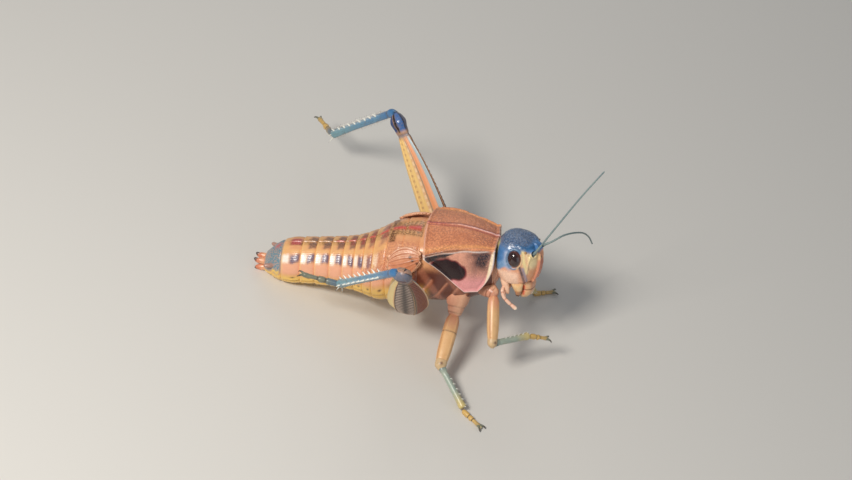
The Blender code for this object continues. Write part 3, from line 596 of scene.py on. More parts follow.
torso = {
    # x, top, bottom, half width, squareness above
    "stations": (
        (-33.5, -13.0, -15.6, 1.5, 2.0),
        (-32.6, -12.1, -16.0, 2.2, 2.0),
        (-31.4, -10.9, -16.6, 3.0, 2.0),
        (-29.2, -9.3, -17.2, 4.0, 2.0),
        (-27.0, -8.5, -17.3, 4.5, 2.0),
        (-22.0, -7.8, -16.9, 4.7, 2.0),
        (-14.3, -6.5, -17.1, 5.5, 2.0),
        (-9.4, -4.4, -18.1, 7.0, 2.1),
        (-7.0, -2.65, -18.0, 7.2, 2.2),
        (-3.5, -1.7, -17.6, 7.5, 2.5),
        (0.0, -1.5, -17.3, 6.8, 3.2),
        (5.0, -1.4, -16.8, 6.6, 3.0),
        (9.5, -2.0, -15.5, 6.2, 2.3),
        (13.8, -3.6, -13.4, 4.6, 2.0),
        (14.5, -3.5, -11.9, 4.2, 2.0),
        (15.1, -3.4, -10.8, 3.9, 2.0),
        (15.8, -3.4, -10.1, 3.6, 2.0),
    ),
    "bellySquareness": 2.3,
    "rims": (-7.15, -9.95, -11.9, -13.9, -16.2, -18.9, -21.9, -24.9, -28.9, -31.0),
    "foldDepth": 0.34,
    "keelHeight": 0.2,
    "sideFold": 118.0,
    "grain": {"Grain Size": 0.42, "Grain Height": 0.07},
    # a slanting seam of the flank each, from low to high
    "seams": (
        ((-5.6, -15.2), (-1.6, -8.0)),
        ((-3.2, -17.0), (2.2, -9.0)),
        ((0.0, -17.4), (5.2, -9.5)),
        ((3.6, -17.0), (7.6, -9.8)),
        ((6.8, -15.6), (10.4, -9.6)),
    ),
}


def torsoGrid(x, angle, grow):
    top, bottom, halfWidth, above = (column[:, None] for column in alongStations(torso["stations"], x).T)
    angle = np.radians(angle)[None, :]
    power = np.where(np.cos(angle) >= 0, above, torso["bellySquareness"])
    middle = (top + bottom) / 2
    y = -(halfWidth + grow) * rounded(np.sin(angle), power)
    z = middle + (top - middle + grow) * rounded(np.cos(angle), power)
    return np.stack([np.broadcast_to(x[:, None], y.shape), y, z], axis=-1)


def makeTorso():
    half = chained(0, (4, 7), (130, 86), (180, 17))
    angle = np.concatenate([half, -half[-2:0:-1]])
    # place, share of its ring, number of its ring: -3 is the neck, -2 the thorax under the plate, -1 and 0
    # its last two rings, 1 to 9 the abdomen and 10 the tail
    rows = [(x, 0.0, -3) for x in np.linspace(15.8, 13.9, 16)]
    rows += [(x, 0.0, -2) for x in np.linspace(13.8, -0.5, 56)]
    rows += [(x, (-0.6 - x) / 3.2, -1) for x in np.linspace(-0.6, -3.8, 18)]
    rows += [(x, (-3.8 - x) / 3.35, 0) for x in np.linspace(-3.8, torso["rims"][0], 18)]
    shares = (
        0.0, 0.02, 0.05, 0.09, 0.14, 0.2, 0.28, 0.37, 0.46, 0.55, 0.64, 0.72, 0.79, 0.85, 0.9, 0.94, 0.97,
        1.0,
    )
    for number, (front, rear) in enumerate(zip(torso["rims"], torso["rims"][1:]), 1):
        rows += [(front + (rear - front) * share, share, number) for share in shares]
    rear = torso["rims"][-1]
    rows += [(x, (rear - x) / 2.3, 10) for x in np.linspace(rear, -33.3, 16)]
    x, share, number = (np.array(column, float) for column in zip(*rows))
    share, number = share[:, None], number[:, None]
    a = np.abs(angle)[None, :]
    xx = x[:, None]
    belly = soft(112, 124, a)
    ringed = (number >= 0) & (number < 10)
    fold = torso["foldDepth"] * (1 - 0.45 * belly)
    lip = np.where(
        ringed,
        -fold * np.exp(-share / 0.09) + 0.09 * soft(0.72, 0.97, share)
        + 0.1 * np.sin(math.pi * np.clip(share, 0, 1)),
        0,
    )
    lip += np.where(number == -1, -0.2 * np.exp(-share / 0.1) + 0.08 * soft(0.7, 1, share), 0)
    lip += np.where(number == 10, -0.2 * np.exp(-share / 0.12), 0)
    keel = torso["keelHeight"] * bell(a, 1.5) * soft(-30.5, -28, xx) * (xx < -0.3)
    side = -0.28 * bell(a - torso["sideFold"], 3.2) * soft(-29.5, -26, xx) * (1 - soft(-8, -5, xx))
    side += 0.07 * bell(a - torso["sideFold"] + 7, 4) * (1 - soft(-8, -5, xx))
    # plates of the thorax's flank, parted by slanting seams
    z = torsoGrid(x, angle, 0.0)[..., 2]
    flank = within(68, 128, 6, a) * within(-6.0, 11.0, 0.6, xx)
    seams = np.zeros_like(z)
    swell = 0.0
    for start, end in torso["seams"]:
        seams = np.maximum(seams, bell(segmentDistance(xx, z, start, end), 0.26))
        middle = ((start[0] + end[0]) / 2 + 1.3, (start[1] + end[1]) / 2)
        swell = swell + 0.32 * bell(np.hypot(xx - middle[0], (z - middle[1]) / 2.4), 1.4)
    neck = np.where(number == -3, -0.3 + 0.12 * np.cos((xx - 13.8) * 14), 0)
    # breathing holes low on each back plate, and the ear on the first
    hole = (
        bell(np.hypot((share - 0.38) * 2.4, (a - 103) / 9.0), 0.26) * ringed * (number > 0) * (number < 9)
    )
    ear = bell(np.hypot((xx + 8.4) / 0.75, (z + 8.6) / 1.1), 0.9) * within(55, 100, 4, a)
    wrinkle = 0.025 * np.sin(angle[None, :] * 2.9) * within(14, 100, 5, a) * (number >= 0)
    grow = lip + keel + side + neck + flank * (swell - 0.3 * seams) - 0.16 * hole - 0.28 * ear + wrinkle
    grid = torsoGrid(x, angle, grow)
    last = x < -32.7
    grid[last] -= (
        (grid[last] - grid[last].mean(axis=1, keepdims=True))
        * (0.5 * soft(-32.7, -33.3, x[last]))[:, None, None]
    )
    plate = (number >= 1) & (number <= 8)
    masks = {
        "olive": within(-1, 13, 3, a) * (xx < -0.3) * (1 - soft(-27, -29, xx)),
        "squares": (
            within(4.5, 23, 3.5, a + 2 * np.sin(share * 9)) * within(0.04, 0.52, 0.09, share) * plate
            * (0.5 + 0.4 * soft(-9, -13, xx)) * (number < 8)
        ),
        "squareRed": within(3, 15, 3, a) * within(0.1, 0.5, 0.1, share) * plate * (1 - soft(-13, -19, xx)),
        "sun": np.maximum(
            0.8 * within(25, 36, 4, a) * plate, 0.75 * soft(0.55, 0.72, share) * within(3, 62, 5, a) * plate
        ),
        "plum": (
            within(39, 60, 5, a + 3 * np.sin(share * 7 + number)) * within(0.05, 0.54, 0.07, share) * plate
            * soft(-8, -12, xx)
        ),
        # pale rear half of each flank patch: its own pale colour, painted near white as a highlight
        "paleAndHighlight": (
            within(39, 61, 6, a) * within(0.58, 0.97, 0.07, share) * plate
            * (0.4 + 0.6 * soft(-10, -15, xx))
        ),
        "flankPink": within(62, 92, 5, a) * (xx < -5),
        "yolk": soft(90, 106, a) * (1 - soft(-1, 2.5, xx)),
        "rimLine": 0.7 * soft(0.84, 0.97, share) * plate * within(6, 118, 8, a),
        "dash": (
            bell(a, 2.6)
            * (
                within(0.12, 0.72, 0.06, share) * ((number >= 1) & (number <= 5))
                + (number == 0) * within(0.05, 0.8, 0.05, share)
                + (number == -1) * within(0.1, 0.9, 0.06, share)
            )
        ),
        "crimson": within(-1, 12, 3, a) * within(0.1, 0.62, 0.12, share) * (number == 8),
        "teal": within(-32.7, -28.9, 0.4, xx) * (1 - soft(84, 108, a + 4 * np.sin(xx * 3))),
        "tailRed": bell(np.hypot((xx + 30.1) / 0.62, a / 11), 1.0),
        "tailSun": within(-31.0, -29.3, 0.25, xx) * bell(a - 92 - 3 * np.sin(xx * 5), 6),
        "tail": soft(-32.6, -33.1, xx),
        "beads": np.where(
            (number == 0) | (number == -1),
            within(5.0, 13, 1, a) * soft(0.0, 0.5, np.sin(angle[None, :] * 1.6))
            * soft(-0.1, 0.7, np.sin(share * 22)),
            0,
        ),
        "brownBand": within(3.5, 26, 2, a) * (number == 0) * within(0.55, 0.95, 0.08, share),
        "streaks": within(22, 84, 6, a) * ((number == 0) | (number == -1) | (number == 1) | (number == 2)),
        "flankPale": (
            within(70, 150, 8, a) * within(-6, 11, 2, xx) * soft(0.2, 0.9, np.sin(xx * 1.25 + z * 0.7))
            * 0.7
        ),
        "seam": np.clip(flank * seams + 0.8 * hole + ear, 0, 1) * (xx > -9),
        "hole": hole,
        # the thorax's flank under the plate's lobe: reddish-brown of its own, painted darker as the lobe's
        # shade
        "pleuraAndShade": soft(70, 86, a) * soft(-7.5, -5.5, xx) * (1 - soft(135, 150, a)),
        "breast": soft(135, 150, a) * soft(-3, 0, xx),
        "collar": (number == -3) * 1.0,
    }
    masks["grain"] = (0.35 * (number >= -1) * (1 - belly)) * (1 - soft(-27, -29, xx))
    piece = skin("torsoSkin", grid, masks, bodyFrame)
    piece = applyRecipe(piece, granules, torso["grain"])
    nodes = [f"abdomen_{n}" for n in range(1, 9)] + ["abdomen_tip", "thorax", "neck"]
    return finished(piece, cuticle("torsoShell", torsoLook), "abdomen_shell", *nodes)


torsoLook = {
    "base": (230, 170, 122),
    "second": (218, 150, 104),
    "cloud": 2.2,
    "fleck": 0.3,
    "rough": 0.34,
    "roughSpread": 0.16,
    "coat": 0.35,
    "coatRough": 0.2,
    "bump": 0.6,
    "bumpSize": 0.16,
    "relief": 0.05,
    "pits": (0.34, 0.5, "grain"),
    # mask, colour, ragged edge, broken cover
    "layers": (
        # flank under the lobe: own reddish-brown, darkened as painted shade
        ("pleuraAndShade", (96, 50, 38), 0.4, 0.0),
        ("flankPale", (176, 112, 86), 0.6, 0.4),
        ("breast", (226, 172, 140), 0.2, 0.0),
        ("flankPink", (234, 170, 136), 0.4, 0.0),
        ("yolk", (242, 196, 104), 0.4, 0.0),
        ("olive", (140, 100, 56), 0.8, 0.6),
        ("streaks", (200, 132, 98), 0.8, 0.9),
        ("sun", (236, 182, 116), 0.8, 0.45),
        ("squares", (108, 82, 74), 1.0, 0.35),
        ("squareRed", (158, 76, 66), 0.8, 0.7),
        ("plum", (104, 90, 112), 0.8, 0.15),
        # pale flank patches of their own, pushed to near white as a painted highlight
        ("paleAndHighlight", (252, 240, 228), 0.8, 0.15),
        ("rimLine", (238, 190, 120), 0.8, 0.5),
        ("brownBand", (104, 66, 36), 0.8, 0.4),
        ("beads", (232, 176, 120), 0.2, 0.0),
        ("dash", (198, 66, 72), 0.6, 0.35),
        ("teal", (96, 134, 150), 0.9, 0.4),
        ("tailSun", (240, 196, 96), 0.5, 0.0),
        ("tailRed", (190, 84, 84), 0.5, 0.0),
        ("crimson", (176, 60, 76), 0.9, 0.4),
        ("tail", (226, 150, 116), 0.3, 0.0),
        ("seam", (196, 132, 104), 0.4, 0.3),
        ("hole", (70, 40, 30), 0.0, 0.0),
        ("collar", (222, 170, 140), 0.3, 0.2),
    ),
    # the pale flank patches with their painted highlight are glossy as well
    "gloss": (("paleAndHighlight", 0.16), ("plum", 0.2)),
}
makeTorso()
print("torso made")

# the plate over the thorax

plate = {
    "length": 14.8,
    "thickness": 0.75,
    "lobeDepth": 10.3,
    "lobeCut": 8.2,
    "keel": ((0, 0.0), (3, 0.05), (6.8, 0.2), (9.6, -0.2), (12.4, -0.9), (15, -1.6)),
    "ridge": ((0, 8, -2.3), (5.2, 6.8, -1.2), (10.5, 5.1, -1.4), (13, 4.3, -1.85), (15, 3.9, -2.2)),
    "lobe": ((0, 8.3), (6, 8.1), (10, 7.6), (14, 6.4)),
    # place along the plate, depth
    "furrows": ((0.46, 0.07), (0.61, 0.05), (0.75, 0.05)),
    "grain": {"Grain Size": 0.4, "Grain Height": 0.07},
}
plateLook = {
    "base": (238, 158, 110),
    "second": (218, 136, 94),
    "cloud": 2.6,
    "fleck": 0.28,
    "rough": 0.42,
    "coat": 0.25,
    "bump": 0.8,
    "bumpSize": 0.14,
    "relief": 0.06,
    "pits": (0.34, 0.5, "grain"),
    "grit": (0.36, (140, 78, 54), 0.42, "grain"),
    "layers": (
        ("lobeSkin", (224, 160, 134), 0.4, 0.0),
        ("rose", (232, 156, 154), 0.6, 0.0),
        ("shade", (164, 104, 82), 0.9, 0.8),
        ("keelShade", (112, 50, 44), 0.9, 0.5),
        ("amber", (238, 168, 104), 0.8, 0.4),
        ("smoke", (120, 82, 76), 0.9, 0.3),
        ("patch", (40, 40, 48), 1.0, 0.3),
        # painted shadow: the dark oval with a maroon rim that the near hind knee casts on the rear of the
        # lobe
        ("kneeShadowEdge", (122, 46, 46), 0.4, 0.0),
        ("kneeShadow", (36, 9, 12), 0.5, 0.0),
        ("ink", (34, 44, 50), 0.6, 0.0),
        # painted highlight: a thin near-white glint under the dark band of the side ridge
        ("ridgeHighlight", (246, 232, 224), 0.4, 0.1),
        ("cream", (248, 228, 192), 0.4, 0.0),
        ("rimPale", (250, 226, 214), 0.3, 0.0),
        # red of the keel's rear crest, and painted shade as a dark line on each side of the pale crest
        ("keelRedAndShade", (150, 52, 74), 0.5, 0.2),
        ("keelPale", (232, 190, 190), 0.4, 0.1),
    ),
    # the painted knee shadow is given a low roughness too
    "gloss": (("ink", 0.1), ("kneeShadow", 0.2), ("patch", 0.14), ("smoke", 0.2), ("cream", 0.3)),
}


def platePoint(row, step):
    # row is 0 on the keel, 1 on the side ridge and 2 at the rim of the lobe; step runs from rear to front
    side, row = np.sign(row), np.abs(row)
    upper, down = np.minimum(row, 1), np.clip(row - 1, 0, 1)
    rear = 0.6 * upper**2 + plate["lobeCut"] * np.clip((down - 0.14) / 0.86, 0, 1)
    front = plate["length"] - 0.4 * upper - 3 * down**3
    x = rear + (front - rear) * step
    keel, lobe = alongStations(plate["keel"], x)[..., 0], alongStations(plate["lobe"], x)[..., 0]
    ridgeWidth, ridgeHigh = np.moveaxis(alongStations(plate["ridge"], x), -1, 0)
    y = np.where(row < 1, ridgeWidth * upper, ridgeWidth + (lobe - ridgeWidth) * np.sin(down * math.pi / 2))
    z = np.where(
        row < 1, keel + (ridgeHigh - keel) * upper**2, ridgeHigh - (plate["lobeDepth"] + ridgeHigh) * down
    )
    return np.stack([x, side * y, z], axis=-1)


def denseEnds(low, high, count, near):
    # even steps with a few closer ones at both ends
    extra = np.array((0.0, 0.12, 0.3, 0.55, 0.8)) * near
    return np.concatenate([low + extra, np.linspace(low + near, high - near, count), high - extra[::-1]])


def makePlate():
    half = chained(0, (0.06, 8), (0.9, 34), (1.12, 20))
    half = np.concatenate([half, denseEnds(1.13, 2.0, 32, 0.05)[5:]])
    across = np.concatenate([-half[:0:-1], half])
    along = denseEnds(0.0, 1.0, 112, 0.03)
    row, step = np.broadcast_arrays(across[None, :], along[:, None])
    grid = platePoint(row, step)
    side, down = np.abs(row), np.clip(np.abs(row) - 1, 0, 1)
    rim = rimDistance(grid)
    disc = side < 1
    lift = 0.26 * np.exp(-np.abs(grid[..., 1]) / 0.26)
    beside = np.where(disc, (1 - side) * 7.0, (side - 1) * 9.5)
    lift += 0.2 * bell(beside, 0.3) * (1 - 0.5 * within(0.5, 0.72, 0.06, step))
    lift -= 0.09 * bell(beside - 0.75, 0.3)
    for place, depth in plate["furrows"]:
        bent = place + 0.05 * np.sin(side * 2.4) + 0.02 * np.sin(side * 7)
        lift -= (
            depth * bell((step - bent) * 13, 0.17) * soft(0.04, 0.2, side) * (1 - soft(1.55, 1.75, side))
        )
    lift += 0.14 * bell(rim - 0.4, 0.26) - 0.1 * bell(rim - 1.0, 0.3)
    lift += (
        0.1 * bell(np.hypot((step - 0.3) * 5, (side - 1.42) * 4), 0.8)
        - 0.16 * bell(np.hypot((step - 0.7) * 6, (side - 1.34) * 5), 0.7)
    )
    lift += 0.02 * np.sin(grid[..., 0] * 2.1 + side * 5) * np.sin(side * 9 + 0.7)
    grid = lifted(grid, lift, wraps=False)
    x = grid[..., 0]
    # the oval on the rear of the lobe where the near hind knee's shadow is painted
    oval = (
        np.hypot((x - 5.6) / 3.5, (down - 0.42 - 0.03 * (x - 5.6)) / 0.23) + 0.04 * np.sin(x * 3 + down * 9)
    )
    masks = {
        "kneeShadowEdge": (1 - soft(1.0, 1.14, oval)) * (side > 1),
        "kneeShadow": (1 - soft(0.9, 1.0, oval)) * (side > 1),
        "lobeSkin": soft(1.0, 1.06, side),
        "rose": soft(0.42, 0.74, down),
        "shade": within(0.1, 0.85, 0.2, side) * (0.5 + 0.4 * soft(0.45, 0.8, step)),
        "keelShade": within(0.25, 0.9, 0.3, np.abs(grid[..., 1])) * soft(0.05, 0.4, step) * 0.55,
        "amber": within(0.82, 0.96, 0.06, side) * 0.8,
        "smoke": (
            bell(np.hypot((x - 11.3) / 1.9, (down - 0.3 - 0.05 * np.sin(x * 2)) / 0.3), 1.0)
            * soft(1.0, 1.05, side)
        ),
        "patch": (
            np.clip(
                2.0 * bell(np.hypot((x - 12.2 - 0.4 * np.sin(down * 16)) / 1.1, (down - 0.22) / 0.17), 1.0)
                + 0.9 * bell(np.hypot((x - 10.4) / 1.2, (down - 0.12) / 0.06), 1.0),
                0,
                1,
            )
            * soft(1.0, 1.04, side)
        ),
        "ink": np.maximum(
            within(0.5, 6.6, 0.5, x) * within(0.06, 0.25 - 0.03 * np.clip(x - 1, 0, 6), 0.018, down),
            0.8 * within(0.6, 9.0, 1.0, x) * bell(side - 1.004, 0.012),
        ),
        # painted highlight: a thin wavy glint line just below the side ridge
        "ridgeHighlight": (
            within(0.9, 13.0, 0.6, x) * bell(down - 0.045 - 0.012 * np.sin(x * 1.3), 0.015) * (side > 1)
        ),
        "cream": (
            within(0.965 - 0.05 * np.sin(math.pi * down), 1.01, 0.012, step) * soft(1.0, 1.03, side)
            * (1 - soft(1.78, 1.92, side))
        ),
        "rimPale": np.maximum(
            (1 - soft(0.32, 0.55, rim)) * (0.25 + 0.75 * (side > 1)),
            0.6 * (1 - soft(0.0, 0.014, step)) * disc,
        ),
        # the keel's own red at its rear, and painted shade: a dark line on each side of the crest
        "keelRedAndShade": np.maximum(
            bell(grid[..., 1], 0.2) * (1 - soft(0.15, 0.5, step)),
            0.75 * bell(np.abs(grid[..., 1]) - 0.42, 0.13),
        ),
        "keelPale": bell(grid[..., 1], 0.17) * soft(0.2, 0.7, step),
        # no grain inside the oval of the painted knee shadow
        "grain": (
            np.where(disc, 1.0 - 0.35 * soft(0.4, 0.5, step), (0.5 - 0.3 * down) * soft(1.0, 1.15, oval))
            * soft(0.25, 0.6, rim)
        ),
    }
    piece = shell("pronotumPlate", grid, plate["thickness"], masks)
    piece = applyRecipe(piece, granules, plate["grain"])
    return finished(piece, cuticle("plateShell", plateLook), "pronotum_plate", "pronotum")


makePlate()
print("plate made")

# the two short wing pads

pad = {
    "start": -0.1,
    "length": 6.3,
    "lift": 0.92,
    "thickness": 0.55,
    "angles": (36, 82),
    "veins": 7,
    "dots": ((-2.0, -3.5), (-1.5, -4.1), (-0.6, -4.6)),
}
padLook = {
    "base": (214, 144, 106),
    "second": (196, 120, 84),
    "cloud": 1.4,
    "rough": 0.4,
    "coat": 0.2,
    "relief": 0.05,
    "layers": (
        ("vein", (150, 88, 62), 0.8, 0.4),
        ("veinPale", (234, 196, 166), 1.0, 0.6),
        ("dots", (38, 26, 26), 0.4, 0.0),
        ("edge", (224, 170, 134), 0.4, 0.3),
    ),
}


def makePads():
    low, high = pad["angles"]
    share, across = np.broadcast_arrays(
        denseEnds(0, 1, 64, 0.05)[:, None], denseEnds(-1, 1, 52, 0.07)[None, :]
    )
    spread = (high - low) / 2 * np.sqrt(np.maximum(1 - (2 * share - 1) ** 2, 0.05))
    angle = (low + high) / 2 + spread * across
    x = pad["start"] - pad["length"] * share
    rows = [
        torsoGrid(x[i], angle[i], pad["lift"])[np.arange(x.shape[1]), np.arange(x.shape[1])]
        for i in range(len(x))
    ]
    grid = np.array(rows)
    vein = (across * 0.5 + 0.5) * pad["veins"] * (1 - 0.15 * share) + 0.35 * np.sin(share * 3)
    fan = np.abs(vein % 1 - 0.5) * 2
    cross = np.abs(((share * 15 + 3 * np.sin(across * 5)) % 1) - 0.5) * 2
    rib = soft(0.72, 0.95, fan)
    lift = 0.09 * rib + 0.04 * soft(0.8, 0.97, cross) + 0.05 * bell(rimDistance(grid) - 0.25, 0.16)
    grid = lifted(grid, lift, wraps=False)
    for side, sign in bothSides:
        sided = folded(grid) * (1, sign, 1)
        dots = sum(
            bell(np.hypot(grid[..., 0] - px, (grid[..., 2] - pz) * 1.2), 0.3) for px, pz in pad["dots"]
        )
        masks = {
            "vein": rib * (0.75 - 0.4 * soft(0, 1, across)),
            "veinPale": within(0.2, 0.6, 0.1, fan) * (1 - soft(-0.5, 0.2, across)),
            "dots": np.clip(dots, 0, 1),
            "edge": 1 - soft(0.15, 0.35, rimDistance(grid)),
        }
        piece = shell(side + "WingPad", sided, pad["thickness"], masks)
        finished(piece, padMaterial, "wing_pad", "tegmen_" + side)


padMaterial = cuticle("padShell", padLook)
makePads()
print("wing pads made")

# head

head = {
    # height, back, front, half width
    "stations": (
        (-2.5, 2.0, 6.2, 2.7),
        (-2.2, 0.9, 7.0, 3.8),
        (-1.0, 0.1, 7.7, 4.5),
        (0.6, -0.6, 8.1, 4.85),
        (2.2, -0.8, 8.2, 4.9),
        (3.8, -0.75, 8.05, 4.7),
        (5.0, -0.5, 7.6, 4.35),
        (6.0, 0.2, 6.95, 3.7),
        (6.6, 0.7, 6.0, 2.9),
        (7.0, 1.5, 4.5, 1.7),
        (7.14, 2.4, 3.6, 0.6),
    ),
    "costaWidth": (
        (-2.5, 1.35), (-1.4, 1.2), (0.5, 0.95), (3.4, 0.78), (4.6, 0.95), (5.6, 0.75), (7.2, 0.6)
    ),
    "costaLift": 0.44,
    "grain": {"Grain Size": 0.34, "Grain Height": 0.05},
    "eyeRadii": (1.37, 1.26, 1.76),
    "eyeLean": -7.0,
    "smallEye": 0.24,
    "smallEyes": ((6.4, 3.42, 5.02), (6.4, -3.42, 5.02), (8.42, 0.0, 3.3)),
    "socket": (7.6, 2.05, 4.5),
    "carina": ((7.2, 3.05, 4.1), (7.1, 3.4, 2.6), (7.0, 3.4, 0.6), (6.85, 2.95, -1.2), (6.7, 2.6, -2.3)),
    "groove": ((5.91, 4.4, 2.0), (6.37, 4.09, 0.72), (6.6, 3.5, -0.6), (6.69, 2.75, -1.7)),
    "grooveSide": ((6.45, 4.1, 1.8), (6.91, 3.6, 0.2), (7.1, 2.8, -1.3)),
    "brownLine": ((6.92, 3.2, 4.49), (7.2, 3.25, 3.0), (7.38, 3.19, 1.55)),
    "lilacRing": ((2.9, 4.5, 4.4), (2.95, 4.63, 3.57), (3.3, 4.7, 2.4), (3.9, 4.6, 1.5)),
    "tealBand": ((4.3, 3.5, 5.85), (5.19, 3.4, 5.9), (6.49, 2.68, 5.62), (7.15, 1.34, 5.62)),
    "sunBand": (
        (5.95, 3.68, 4.98), (6.35, 3.95, 3.9), (6.5, 4.0, 3.1), (6.85, 3.75, 1.9), (7.06, 3.47, 0.85)
    ),
    "blueEdge": (
        (-0.8, -0.6), (1.5, 0.5), (2.9, 1.7), (4.0, 1.75), (4.6, 2.4), (5.0, 3.4), (5.8, 4.95), (6.8, 4.95),
        (7.6, 4.5), (8.8, 5.0),
    ),
}
headLook = {
    "base": (232, 170, 136),
    "second": (224, 152, 112),
    "cloud": 1.9,
    "fleck": 0.24,
    "rough": 0.34,
    "coat": 0.35,
    "coatRough": 0.18,
    "bump": 0.5,
    "bumpSize": 0.14,
    "relief": 0.04,
    "pits": (0.42, 0.35, "grain"),
    "grit": (0.34, (34, 46, 72), 0.35, "grain"),
    "layers": (
        ("lowerFace", (236, 164, 116), 0.4, 0.0),
        ("cheek", (250, 206, 178), 0.4, 0.0),
        ("faceCream", (246, 220, 168), 0.5, 0.0),
        ("blue", (74, 124, 178), 0.6, 0.0),
        ("paleBlue", (122, 160, 198), 0.6, 0.3),
        ("lilacRing", (172, 182, 206), 0.5, 0.1),
        ("navy", (48, 80, 112), 0.9, 0.3),
        ("lilac", (146, 150, 166), 1.2, 0.95),
        ("sunBand", (238, 216, 156), 0.5, 0.0),
        ("brownLine", (178, 120, 84), 0.3, 0.1),
        ("costaRed", (190, 108, 92), 0.5, 0.1),
        ("bumps", (240, 214, 152), 0.3, 0.0),
        ("tealBand", (38, 100, 150), 0.5, 0.0),
        ("grooveSide", (150, 140, 158), 0.4, 0.1),
        ("groove", (52, 52, 70), 0.4, 0.0),
        ("eyeRing", (92, 128, 160), 0.4, 0.0),
        ("eyeStrip", (222, 192, 148), 0.3, 0.0),
        ("rearEdge", (190, 176, 108), 0.4, 0.1),
        ("clypealLine", (150, 70, 56), 0.3, 0.0),
        ("socket", (84, 104, 112), 0.2, 0.0),
    ),
    "gloss": (("groove", 0.15),),
}


def strokeDistance(points, path):
    # how far points lie from a path given in millimetres, the same on both sides
    points = folded(points)
    far = np.full(points.shape[:2], 1e9)
    for start, end in zip(np.array(path[:-1], float), np.array(path[1:], float)):
        along = end - start
        u = np.clip(((points - start) @ along) / (along @ along), 0, 1)
        far = np.minimum(far, np.linalg.norm(points - start - u[..., None] * along, axis=2))
    return far


